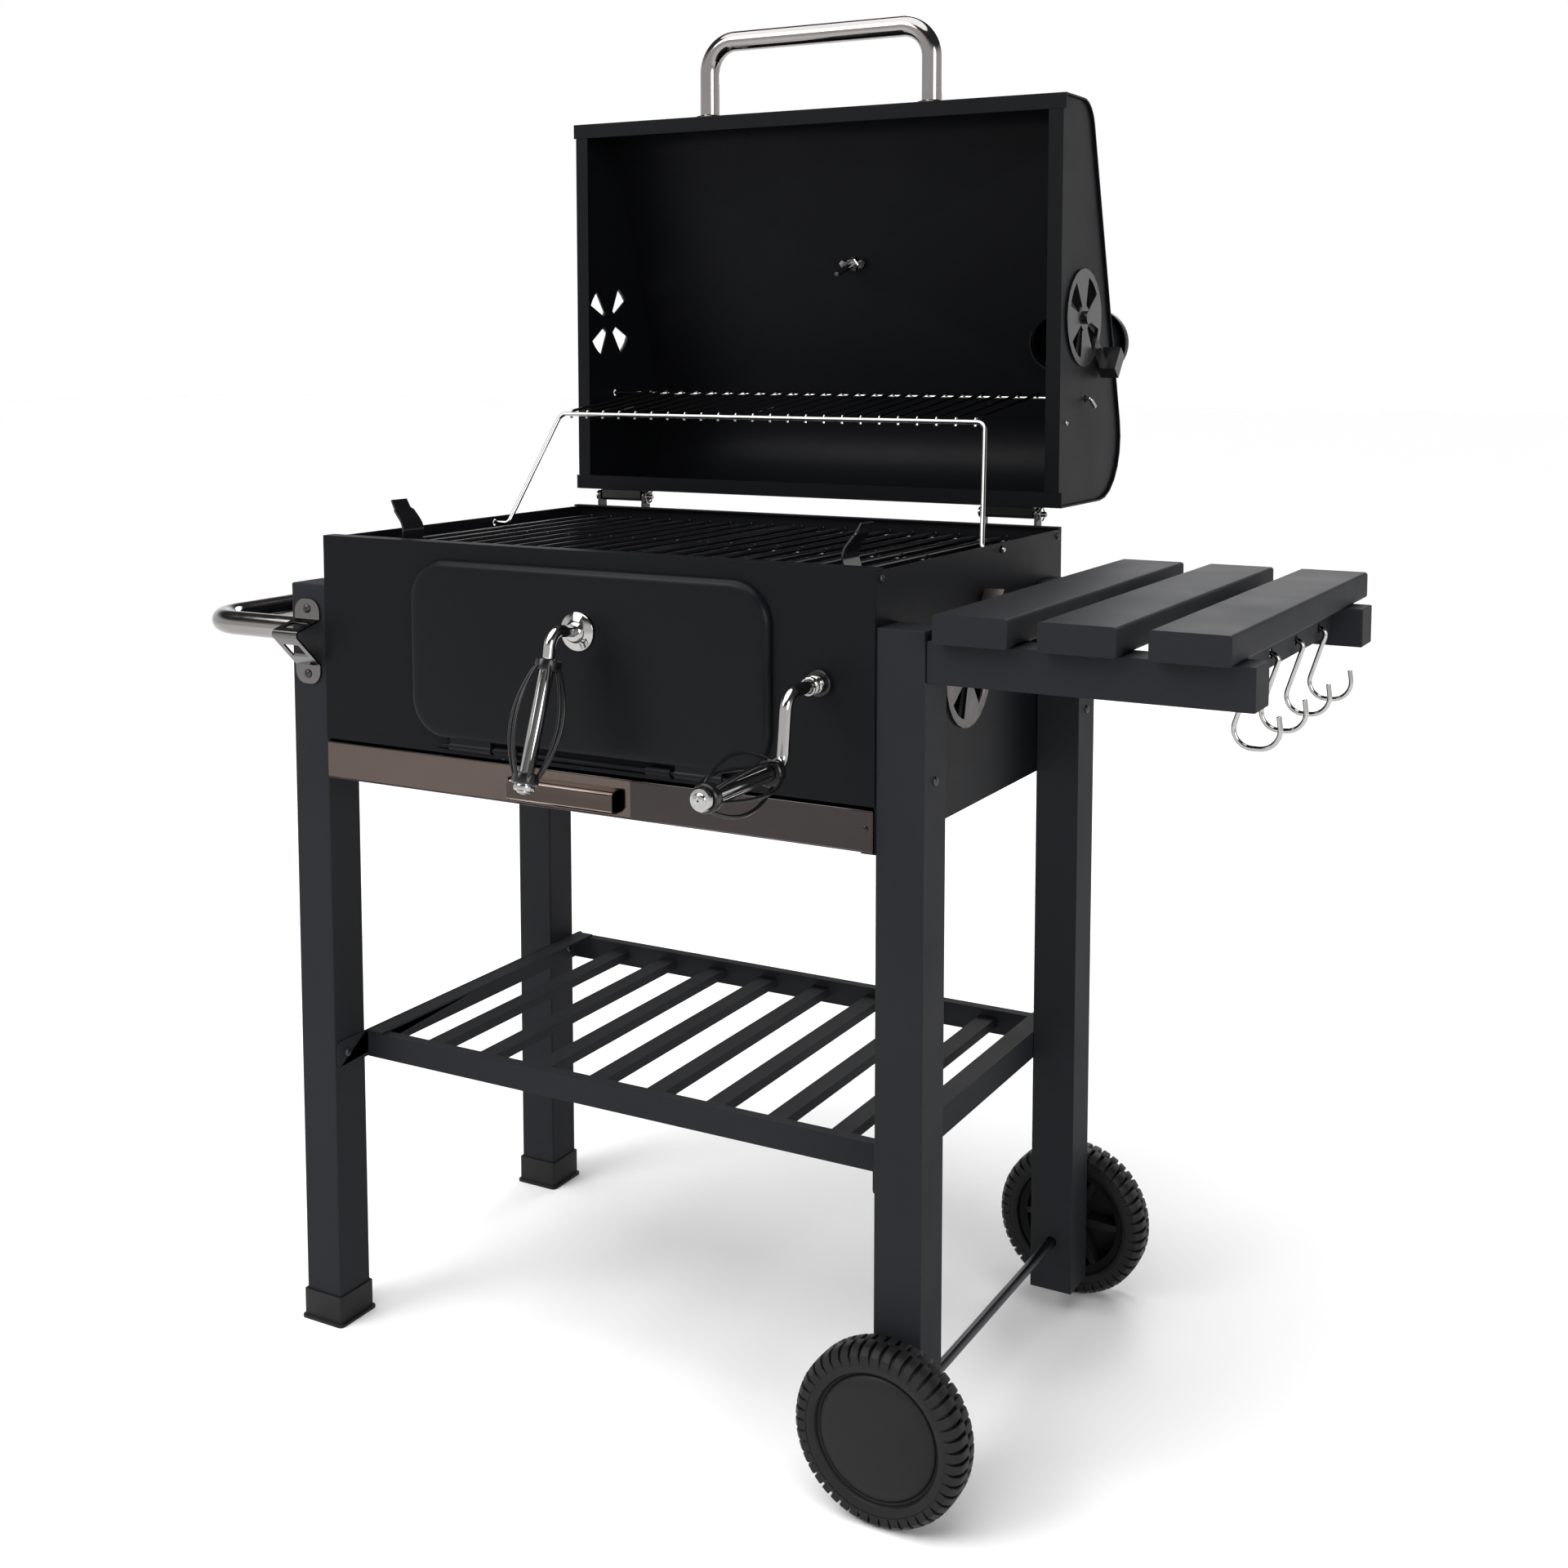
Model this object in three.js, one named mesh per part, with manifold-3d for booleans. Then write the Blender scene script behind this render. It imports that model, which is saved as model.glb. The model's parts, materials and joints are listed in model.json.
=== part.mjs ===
// Charcoal grill cart with a lifting lid, a crank-lifted charcoal tray and a slatted side table.
// Millimetres. X runs along the front towards the side table, Y runs from the front to the back, Z is up.
// The floor is Z = 0, and the legs stand on it. The fire box's left front corner is at X = 0, Y = 0.
import * as THREE from 'three';
import { mergeVertices } from 'three/addons/utils/BufferGeometryUtils.js';
import Module from 'manifold-3d';

const wasm = await Module();
wasm.setup();

// ---------------------------------------------------------------- driving dimensions

const GAP = 0.3; // between pieces that touch
const SHEET = 2; // sheet steel

const BODY = { width: 610, depth: 440, bottom: 576, top: 821, frontRoll: 16, rearRoll: 9 };
const LEG = { side: 45, wall: 2, top: 771, frontY: 2, backY: 375, wheelEndZ: 28 };
const FOOT = { height: 31, wall: 2, flange: 5 };
const WHEEL = { radius: 80, width: 38, z: 80, hub: 16, bore: 5.4 };
const AXLE_RADIUS = 5;
const SHELF = { top: 301, height: 28, slatWidth: 20, slatTop: 291, slatBottom: 281, slats: 8 };
const DRAWER = { bottom: 577, top: 614, panDepth: 420 };
const DOOR = { left: 113, right: 511, bottom: 631, top: 805, corner: 40, thick: 8 };
const DOOR_AXIS = { y: -5, z: 626 };
const HANDLE = { x: 312, z: 748, bendY: -54, gripZ: 728, lean: 0.36 };
const GRIP = { length: 112, radius: 22, end: 12, wire: 3, wires: 6, sleeve: 7 };
const CRANK = { x: 558, z: 720, armY: -60, arm: 62, gripEndY: -190 };
const TRAY = { right: 540, bottom: 666, rim: 24 };
const GRATE = { bottom: 801.3, outer: 26, front: 18, rear: 11, rods: 11, rod: 6, bar: 5 };

const HINGE = { y: 448, z: 832, x: [60, 550] };
const LINK = { y: 66, z: 120 }; // from a lower pivot to an upper pivot of the warming rack's linkage
const BAIL_PIVOT = { y: 276, z: 812 };
const RACK = { left: 54, right: 556, wires: 24, wire: 4 };

const LID_PLANE_Y = HINGE.y - 10; // the lid's opening, upright while the lid is open
const LID_LOW = HINGE.z + 8;
const LID_HIGH = HINGE.z + HINGE.y - 14; // the closed lid's front edge stands 14 behind the box's front
const LID_FRONT_HEIGHT = 79;
const LID_SLOPE = 0.3; // how far the lid's top falls back for each unit down
const LID_FLANGE = 16;
const LID_INSET = 3; // the lid's side panels sit this far inside the lid's rims
const TOP_NORMAL = [0, 1, LID_SLOPE];
const THERMOMETER = { x: 305, z: 1104, radius: 32 };
const CHIMNEY = { x: 545, z: 1012, radius: 32, length: 130 };

const VENT = { radius: 52, hub: 7, windowIn: 14, windowOut: 44 };
const BODY_VENT = { y: 196, z: 704 };
const LID_VENT = { y: 503, z: 1038 };
const KNOB_ANGLE = { body: (55 * Math.PI) / 180, lid: (-40 * Math.PI) / 180 };

const TABLE = { top: 788, slatThick: 25, slatWidth: 66, pitch: 92, firstX: 667, frontY: -10, backY: 465 };
const BEAM = { side: 40, height: 36, wall: 2, top: 762.7, endX: 932 };
const RAIL = { thick: 2, low: 738, firstY: 75, pitch: 84, holeZ: 750 };
const SIDE_HANDLE = { x: -190, z: 720, radius: 12.5, wall: 1.5, bend: 48 };

// ---------------------------------------------------------------- materials

const paint = (color, roughness) => new THREE.MeshStandardMaterial({ color, roughness, metalness: 0.2 });
const metal = (color, roughness) => new THREE.MeshStandardMaterial({ color, roughness, metalness: 1 });
const enamel = paint(0x1f2023, 0.45);
const frame = paint(0x2d2e31, 0.55);
const castEnamel = paint(0x17181a, 0.4);
const plastic = paint(0x121214, 0.5);
const chrome = metal(0xd8dade, 0.12);
const stainless = metal(0xb9b4ae, 0.25);
const grateEnamel = paint(0x222225, 0.35);

// ---------------------------------------------------------------- outlines and paths

const vector = (p) => new THREE.Vector3(p[0], p[1], p[2] ?? 0);

/** Replaces each corner that has a radius by an arc. A corner is { at: [..], radius }, or just its place. */
function rounded(corners, closed, steps = 5) {
  const at = corners.map((c) => vector(Array.isArray(c) ? c : c.at));
  const points = [];
  corners.forEach((corner, i) => {
    const radius = corner.radius ?? 0;
    const isEnd = !closed && (i === 0 || i === corners.length - 1);
    if (radius === 0 || isEnd) {
      points.push(at[i]);
      return;
    }
    const back = at[(i + at.length - 1) % at.length].clone().sub(at[i]).normalize();
    const ahead = at[(i + 1) % at.length].clone().sub(at[i]).normalize();
    const half = back.angleTo(ahead) / 2;
    const middle = back.clone().add(ahead).normalize();
    const across = ahead.clone().sub(back).normalize();
    const centre = at[i].clone().addScaledVector(middle, radius / Math.sin(half));
    const sweep = Math.PI / 2 - half;
    for (let k = 0; k <= steps; k += 1) {
      const angle = sweep * ((2 * k) / steps - 1);
      const point = centre.clone().addScaledVector(middle, -radius * Math.cos(angle));
      points.push(point.addScaledVector(across, radius * Math.sin(angle)));
    }
  });
  return points;
}

const shapeOf = (points) => new THREE.Shape(points.map((p) => new THREE.Vector2(p.x, p.y)));

/** The outline of a bent sheet: a path in the plane, thickened to its left. */
function sheetOutline(corners, thickness, steps = 5) {
  const path = rounded(corners, false, steps);
  const left = path.map((point, i) => {
    const before = point.clone().sub(path[Math.max(i - 1, 0)]).normalize();
    const after = path[Math.min(i + 1, path.length - 1)].clone().sub(point).normalize();
    const first = before.lengthSq() > 0 ? before : after;
    const last = after.lengthSq() > 0 ? after : before;
    const along = first.clone().add(last).normalize();
    const side = new THREE.Vector3(-along.y, along.x, 0);
    return point.clone().addScaledVector(side, thickness / along.dot(first));
  });
  return shapeOf([...path, ...left.reverse()]);
}

const rectangle = (a0, a1, b0, b1, radius = 0) =>
  shapeOf(rounded([[a0, b0], [a1, b0], [a1, b1], [a0, b1]].map((at) => ({ at, radius })), true));

const regular = (a, b, radius, sides, turn = 0) => {
  const points = [];
  for (let i = 0; i < sides; i += 1) {
    const angle = turn + (i * 2 * Math.PI) / sides;
    points.push(new THREE.Vector3(a + radius * Math.cos(angle), b + radius * Math.sin(angle), 0));
  }
  return shapeOf(points);
};

// ---------------------------------------------------------------- solids

/** Extrudes an outline drawn in (Y, Z) along X, in (X, Z) along Y, or in (X, Y) along Z. */
function prism(axis, shape, from, to) {
  const geometry = new THREE.ExtrudeGeometry(shape, { depth: to - from, bevelEnabled: false });
  const turn = new THREE.Matrix4();
  if (axis === 'x') {
    turn.set(0, 0, 1, from, 1, 0, 0, 0, 0, 1, 0, 0, 0, 0, 0, 1);
  } else if (axis === 'y') {
    turn.set(1, 0, 0, 0, 0, 0, -1, to, 0, 1, 0, 0, 0, 0, 0, 1);
  } else {
    turn.makeTranslation(0, 0, from);
  }
  return geometry.applyMatrix4(turn);
}

const box = (x0, x1, y0, y1, z0, z1) =>
  new THREE.BoxGeometry(x1 - x0, y1 - y0, z1 - z0).translate((x0 + x1) / 2, (y0 + y1) / 2, (z0 + z1) / 2);

/** The two X values that lie a and b away from a face, in rising order. */
const span = (face, direction, a, b) => [face + direction * a, face + direction * b].sort((p, q) => p - q);

/** A path whose steps fall exactly on its points, so that straight runs stay one step long. */
class BentPath extends THREE.Curve {
  constructor(points) {
    super();
    this.points = points;
  }

  getPointAt(u) {
    const last = this.points.length - 1;
    const i = Math.min(Math.round(u * last), last);
    return this.points[i].clone();
  }

  getTangentAt(u) {
    const last = this.points.length - 1;
    const i = Math.min(Math.round(u * last), last);
    const tangent = new THREE.Vector3();
    if (i > 0) {
      tangent.add(this.points[i].clone().sub(this.points[i - 1]).normalize());
    }
    if (i < last) {
      tangent.add(this.points[i + 1].clone().sub(this.points[i]).normalize());
    }
    return tangent.normalize();
  }
}

/** A round bar along a bent path, or a tube where it has a bore. */
function rod(corners, radius, sides = 8, steps = 4, bore = 0) {
  const points = rounded(corners, false, steps);
  const section = regular(0, 0, radius, sides);
  if (bore > 0) {
    section.holes.push(regular(0, 0, bore, sides));
  }
  const options = { steps: points.length - 1, extrudePath: new BentPath(points), bevelEnabled: false };
  return new THREE.ExtrudeGeometry(section, options);
}

/** A turned piece. The profile is (distance along the axis, radius) and closes on itself or on the axis. */
function turned(profile, sides = 16) {
  return new THREE.LatheGeometry(profile.map(([along, radius]) => new THREE.Vector2(radius, along)), sides);
}

/** Puts a piece made along +Y at a place, with its axis along a direction. */
function aim(geometry, direction, place) {
  const up = new THREE.Vector3(0, 1, 0);
  const turn = new THREE.Quaternion().setFromUnitVectors(up, vector(direction).normalize());
  return geometry.applyQuaternion(turn).translate(...place);
}

const disc = (radius, from, to, sides = 16) =>
  turned([[from, 0], [from, radius], [to, radius], [to, 0]], sides);

const ring = (inner, outer, from, to, sides = 16) =>
  turned([[from, inner], [from, outer], [to, outer], [to, inner], [from, inner]], sides);

// ---------------------------------------------------------------- cutting and joining

function solid(geometry) {
  const bare = geometry.clone();
  bare.deleteAttribute('normal');
  bare.deleteAttribute('uv');
  const merged = mergeVertices(bare, 1e-4);
  const mesh = new wasm.Mesh({
    numProp: 3,
    vertProperties: Float32Array.from(merged.attributes.position.array),
    triVerts: Uint32Array.from(merged.index.array),
  });
  return new wasm.Manifold(mesh);
}

function geometryOf(manifold) {
  const mesh = manifold.getMesh();
  const geometry = new THREE.BufferGeometry();
  geometry.setAttribute('position', new THREE.BufferAttribute(mesh.vertProperties, 3));
  geometry.setIndex(new THREE.BufferAttribute(mesh.triVerts, 1));
  return geometry;
}

const join = (first, ...rest) => geometryOf(rest.reduce((sum, g) => sum.add(solid(g)), solid(first)));
const cut = (first, ...rest) => geometryOf(rest.reduce((left, g) => left.subtract(solid(g)), solid(first)));

const grill = new THREE.Group();

function piece(name, geometry, material) {
  const flat = geometry.index ? geometry.toNonIndexed() : geometry;
  flat.computeVertexNormals();
  const mesh = new THREE.Mesh(flat, material);
  mesh.name = name;
  grill.add(mesh);
  return mesh;
}

// ---------------------------------------------------------------- legs, feet, axle and wheels

const LEG_X = { left: -GAP - LEG.side, right: BODY.width + GAP };
const AXLE_X = LEG_X.right + LEG.side / 2;

function addLegs() {
  for (const [side, x] of Object.entries(LEG_X)) {
    for (const [end, y] of [['front', LEG.frontY], ['back', LEG.backY]]) {
      const bottom = side === 'left' ? FOOT.wall + GAP : LEG.wheelEndZ;
      const outer = box(x, x + LEG.side, y, y + LEG.side, bottom, LEG.top);
      const w = LEG.wall;
      const inner = box(x + w, x + LEG.side - w, y + w, y + LEG.side - w, bottom - 1, LEG.top - w);
      const tools = [inner];
      if (side === 'right') {
        tools.push(aim(disc(WHEEL.bore, -1, LEG.side + 1, 16), [0, 1, 0], [AXLE_X, y, WHEEL.z]));
      }
      piece(`leg_${end}_${side}`, cut(outer, ...tools), frame);
    }
  }
}

function addFeet() {
  const c = FOOT.wall + GAP;
  const f = FOOT.flange;
  const x0 = LEG_X.left;
  const x1 = x0 + LEG.side;
  for (const [end, y0] of [['front', LEG.frontY], ['back', LEG.backY]]) {
    const y1 = y0 + LEG.side;
    const sleeve = prism('z', rectangle(x0 - c, x1 + c - GAP, y0 - c, y1 + c, 2), 0, FOOT.height);
    const flange = prism('z', rectangle(x0 - f, x1 + f, y0 - f, y1 + f, 5), 0, 3);
    const socket = box(x0 - GAP, x1 + GAP / 2, y0 - GAP, y1 + GAP, FOOT.wall, FOOT.height + 1);
    piece(`foot_cap_${end}`, cut(join(sleeve, flange), socket), plastic);
  }
}

function addWheels() {
  const frontY = LEG.frontY - 6 - WHEEL.width;
  const backY = LEG.backY + LEG.side + 6;
  const axle = disc(AXLE_RADIUS, frontY - 4, backY + WHEEL.width + 4, 16);
  piece('axle', aim(axle, [0, 1, 0], [AXLE_X, 0, WHEEL.z]), frame);
  const r = WHEEL.radius;
  const w = WHEEL.width;
  // The outer face has a smooth dish, and the inner face a deep recess between the hub and the tyre.
  const profile = [
    [0, r - 6], [4, r], [w - 4, r], [w, r - 6], [w, r - 16], [8, r - 22], [8, WHEEL.hub],
    [w + 4, WHEEL.hub], [w + 4, WHEEL.bore], [2, WHEEL.bore], [2, r - 20], [0, r - 16], [0, r - 6],
  ];
  piece('wheel_front', aim(turned(profile, 28), [0, 1, 0], [AXLE_X, frontY, WHEEL.z]), plastic);
  piece('wheel_back', aim(turned(profile, 28), [0, -1, 0], [AXLE_X, backY + w, WHEEL.z]), plastic);
}

// ---------------------------------------------------------------- bottom shelf

function addShelf() {
  const low = SHELF.top - SHELF.height;
  const rearEar = LEG.backY + LEG.side + 18;
  const flangeFrom = LEG.frontY + LEG.side + GAP;
  for (const side of ['left', 'right']) {
    const [wall, inward] = side === 'left' ? [0, 1] : [BODY.width, -1];
    const webFace = rectangle(LEG.frontY + 2, rearEar, low, SHELF.top, 6);
    const web = prism('x', webFace, ...span(wall, inward, 0, SHEET));
    const flangeX = span(wall, inward, 0.5, 22);
    const shelfTop = box(...flangeX, flangeFrom, rearEar - 8, SHELF.top - SHEET, SHELF.top - 0.01);
    piece(`shelf_rail_${side}`, join(web, shelfTop), frame);
  }
  const x0 = SHEET + GAP;
  const x1 = BODY.width - x0;
  const lip = SHELF.top - SHEET - GAP;
  const frontY = flangeFrom + 1;
  const backY = LEG.backY + LEG.side + 2;
  const parts = [box(x0, x1, frontY, frontY + 12, low, lip), box(x0, x1, backY, backY + 12, low, lip)];
  const pitch = (x1 - x0) / (SHELF.slats + 1);
  for (let i = 1; i <= SHELF.slats; i += 1) {
    const x = x0 + i * pitch;
    const half = SHELF.slatWidth / 2;
    parts.push(box(x - half, x + half, frontY + 6, backY + 6, SHELF.slatBottom, SHELF.slatTop));
  }
  piece('shelf_grid', join(...parts), frame);
}

// ---------------------------------------------------------------- air vents

/** Four windows of 40 degrees around a vent's centre, as cutters through X. */
function ventWindows({ y, z }, x0, x1, turn) {
  const cutters = [];
  const half = Math.PI / 9;
  for (let i = 0; i < 4; i += 1) {
    const middle = turn + Math.PI / 4 + (i * Math.PI) / 2;
    const points = [];
    for (let k = 0; k <= 4; k += 1) {
      const angle = middle - half + (k * half) / 2;
      points.push(vector([y + VENT.windowOut * Math.cos(angle), z + VENT.windowOut * Math.sin(angle)]));
    }
    for (const angle of [middle + half, middle - half]) {
      points.push(vector([y + VENT.windowIn * Math.cos(angle), z + VENT.windowIn * Math.sin(angle)]));
    }
    cutters.push(prism('x', shapeOf(points), x0, x1));
  }
  return cutters;
}

/** A turning damper outside a wall at X = face. Its knob stands out at the rim, at an angle from +Y. */
function damper(centre, face, outward, knobAngle, turn) {
  const plate = prism('x', regular(centre.y, centre.z, VENT.radius, 24), ...span(face, outward, GAP, 2.3));
  const hub = prism('x', regular(centre.y, centre.z, VENT.hub, 12), ...span(face, outward, 2, 7));
  const knobPart = (size, away, radius) => {
    const part = new THREE.BoxGeometry(...size).applyMatrix4(new THREE.Matrix4().makeRotationX(knobAngle));
    const y = centre.y + radius * Math.cos(knobAngle);
    const z = centre.z + radius * Math.sin(knobAngle);
    return part.translate(face + outward * away, y, z);
  };
  const neck = knobPart([2.4, 24, 18], 1.5, VENT.radius + 6);
  const grip = knobPart([20, 16, 30], 12, VENT.radius + 22);
  return cut(join(plate, hub, neck, grip), ...ventWindows(centre, ...span(face, outward, -5, 12), turn));
}

function addDampers() {
  const open = Math.PI / 18;
  for (const [side, face, outward] of [['left', 0, -1], ['right', BODY.width, 1]]) {
    piece(`body_damper_${side}`, damper(BODY_VENT, face, outward, KNOB_ANGLE.body, open), stainless);
    const lidFace = face - outward * LID_INSET;
    piece(`lid_damper_${side}`, damper(LID_VENT, lidFace, outward, KNOB_ANGLE.lid, open), castEnamel);
  }
}

// ---------------------------------------------------------------- fire box

function addBody() {
  const { width, depth, bottom, top, frontRoll, rearRoll } = BODY;
  const ledge = GRATE.bottom - GAP;

  const frontProfile = [[0, DRAWER.top + 3], [0, top], [frontRoll, top]];
  const front = prism('x', sheetOutline(frontProfile, -SHEET), 0, width);
  const frontLedge = box(12, width - 12, 1, frontRoll + 12, ledge - SHEET, ledge);
  const doorway = rectangle(DOOR.left + 24, DOOR.right - 24, DOOR.bottom + 16, DOOR.top - 16, 24);
  const doorHole = prism('y', doorway, -5, 5);
  const crankHole = aim(disc(9, -5, 8, 16), [0, 1, 0], [CRANK.x, 0, CRANK.z]);
  piece('body_front', cut(join(front, frontLedge), doorHole, crankHole), enamel);

  const rearProfile = [[depth, bottom], [depth, top], [depth - rearRoll, top]];
  const rear = prism('x', sheetOutline(rearProfile, SHEET), 0, width);
  const rearLedge = box(12, width - 12, depth - rearRoll - 12, depth - 1, ledge - SHEET, ledge);
  piece('body_rear', join(rear, rearLedge), enamel);

  const y0 = SHEET + GAP;
  const y1 = depth - SHEET - GAP;
  for (const [side, outer, inward] of [['left', 0, 1], ['right', width, -1]]) {
    const wall = box(...span(outer, inward, 0, SHEET), y0, y1, bottom - 1, top - SHEET - GAP);
    const runner = box(...span(outer, inward, 1, 14), y0, y1, bottom - 1, bottom + 0.7);
    const through = span(outer, inward, -3, 6);
    const bailHole = prism('x', regular(BAIL_PIVOT.y, BAIL_PIVOT.z, 4, 12), ...through);
    const windows = ventWindows(BODY_VENT, ...through, 0);
    piece(`body_${side}`, cut(join(wall, runner), bailHole, ...windows), enamel);
  }
}

// ---------------------------------------------------------------- coal door, its hinge and handle

function addDoor() {
  const outline = rectangle(DOOR.left, DOOR.right, DOOR.bottom, DOOR.top, DOOR.corner);
  const door = new THREE.ExtrudeGeometry(outline, {
    depth: DOOR.thick - 4,
    bevelEnabled: true,
    bevelThickness: 4,
    bevelSize: 4,
    bevelOffset: -4,
    bevelSegments: 2,
    curveSegments: 4,
  });
  door.applyMatrix4(new THREE.Matrix4().set(1, 0, 0, 0, 0, 0, -1, -GAP, 0, 1, 0, 0, 0, 0, 0, 1));
  const back = box(DOOR.left - 9, DOOR.right + 9, -GAP, 9, DOOR.bottom - 9, DOOR.top + 9);
  const { y, z } = DOOR_AXIS;
  const knuckle = (x0, x1) => aim(disc(4, 0, x1 - x0, 12), [1, 0, 0], [x0, y, z]);
  const doorKnuckles = [[160, 210], [414, 464]];
  const tongues = doorKnuckles.map(([x0, x1]) => box(x0, x1, y - 2, y + 2, z, DOOR.bottom + 6));
  const bore = aim(disc(2.4, 0, 400, 12), [1, 0, 0], [100, y, z]);
  const rim = 10;
  const inner = [DOOR.left + rim, DOOR.right - rim, DOOR.bottom + rim, DOOR.top - rim];
  const hollow = prism('y', rectangle(...inner, DOOR.corner - rim), -GAP - DOOR.thick + SHEET, GAP);
  const panel = cut(door, back, hollow);
  const barrels = doorKnuckles.map(([x0, x1]) => knuckle(x0, x1));
  piece('coal_door', cut(join(panel, ...barrels, ...tongues), bore), enamel);

  const leaf = box(140, 484, -2.3, -GAP, DRAWER.top + 3.5, z - 4.5);
  const bodyKnuckles = [[214, 240], [384, 410]];
  const arms = bodyKnuckles.map(([x0, x1]) => box(x0, x1, y - 1, -GAP, z - 6, z));
  const pin = aim(disc(2, 0, 330, 12), [1, 0, 0], [150, y, z]);
  piece('door_hinge', join(leaf, ...arms, ...bodyKnuckles.map(([x0, x1]) => knuckle(x0, x1)), pin), frame);
}

/** A cage grip along +Y from the origin: two collars joined by bulging wires. */
function cageGrip() {
  const collar = (from, to) => ring(GRIP.sleeve + GAP, GRIP.end, from, to, 12);
  const parts = [collar(0, 10), collar(GRIP.length - 10, GRIP.length)];
  for (let i = 0; i < GRIP.wires; i += 1) {
    const angle = (i * 2 * Math.PI) / GRIP.wires;
    const at = (along, radius) => [radius * Math.cos(angle), along, radius * Math.sin(angle)];
    const crown = GRIP.radius - GRIP.wire + 1;
    const ends = [at(5, GRIP.end - 2), at(GRIP.length - 5, GRIP.end - 2)];
    const bulge = [26, GRIP.length - 38].map((along) => ({ at: at(along, crown), radius: 40 }));
    parts.push(rod([ends[0], ...bulge, ends[1]], GRIP.wire, 5, 2));
  }
  return join(...parts);
}

/** The bare rod inside a grip, with a wider sleeve and a round end, along +Y from the origin. */
const gripCore = () =>
  turned([[-1, 0], [-1, GRIP.sleeve], [GRIP.length + 1, GRIP.sleeve], [GRIP.length + 1, 9],
    [GRIP.length + 5, 9], [GRIP.length + 8, 6], [GRIP.length + 8, 0]], 12);

function addDoorHandle() {
  const { x, z, bendY, gripZ, lean } = HANDLE;
  const down = vector([0, -lean, -1]).normalize();
  const face = -GAP - DOOR.thick - GAP;
  const start = vector([x, bendY, gripZ]);
  const inGrip = start.clone().addScaledVector(down, 4);
  const path = [[x, face - 2, z], { at: [x, bendY + 4, z + 6], radius: 12 }, inGrip.toArray()];
  const rosette = aim(turned([[0, 0], [0, 19], [3, 17], [6, 8], [6, 0]], 20), [0, -1, 0], [x, face, z]);
  const core = aim(gripCore(), down.toArray(), start.toArray());
  piece('door_handle_rod', join(rod(path, 4.5, 10), rosette, core), chrome);
  piece('door_grip', aim(cageGrip(), down.toArray(), start.toArray()), castEnamel);
}

// ---------------------------------------------------------------- ash drawer

function addDrawer() {
  const { bottom, top, panDepth } = DRAWER;
  const x0 = 4;
  const x1 = BODY.width - 4;
  const pan = box(x0, x1, SHEET + GAP, panDepth, bottom + 0.5, top - 6);
  const hollow = box(x0 + 1.5, x1 - 1.5, SHEET + GAP + 1.5, panDepth - 1.5, bottom + 2, top);
  piece('ash_drawer_pan', cut(pan, hollow), stainless);

  const face = box(1, BODY.width - 1, -0.5, 2, bottom, top);
  // The pull is a raised bridge that stays open at its right end.
  const [left, right] = [231, 350];
  const bridge = [[-12, bottom + 8], { at: [-12, bottom + 25], radius: 4 }, [0, bottom + 28]];
  const floor = [[-12, bottom + 9], [-6, bottom + 6], [0, bottom + 6]];
  const pull = [bridge, floor].map((path) => prism('x', sheetOutline(path, -1.5), left, right));
  const cap = box(left, left + 2, -12, 0, bottom + 6, bottom + 27);
  piece('ash_drawer_front', join(face, ...pull, cap), stainless);
}

// ---------------------------------------------------------------- crank and charcoal tray

function addCrank() {
  const { x, z, armY, arm, gripEndY } = CRANK;
  const gripStart = gripEndY + GRIP.length;
  const armFoot = z - arm;
  const path = [
    [x, 428, z],
    { at: [x, armY, z], radius: 14 },
    { at: [x - 2, armY - 4, armFoot], radius: 12 },
    [x - 2, gripStart - 2, armFoot],
  ];
  const lugs = [70, 370].map((y) => box(x - 3, x + 3, y - 4, y + 4, z, z + 18));
  const core = aim(gripCore(), [0, -1, 0], [x - 2, gripStart, armFoot]);
  piece('crank_rod', join(rod(path, 5.5, 10), core, ...lugs), chrome);
  piece('crank_grip', aim(cageGrip(), [0, -1, 0], [x - 2, gripStart, armFoot]), castEnamel);
  const bush = [[-6, 6], [-6, 12], [-GAP, 12], [-GAP, 8.6], [8, 8.6], [8, 6], [-6, 6]];
  piece('crank_bush', aim(turned(bush, 20), [0, 1, 0], [x, 0, z]), castEnamel);
}

function addTray() {
  const { right, bottom, rim } = TRAY;
  const x0 = 12;
  const y0 = 12;
  const y1 = BODY.depth - 12;
  const tray = box(x0, right, y0, y1, bottom, bottom + rim);
  const hollow = box(x0 + SHEET, right - SHEET, y0 + SHEET, y1 - SHEET, bottom + SHEET, bottom + rim + 1);
  const slots = [];
  for (let column = 0; column < 8; column += 1) {
    for (const y of [70, 250]) {
      const x = 50 + column * 62;
      slots.push(box(x, x + 10, y, y + 120, bottom - 1, bottom + SHEET + 1));
    }
  }
  piece('charcoal_tray', cut(tray, hollow, ...slots), frame);
}

// ---------------------------------------------------------------- cooking grates

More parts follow.
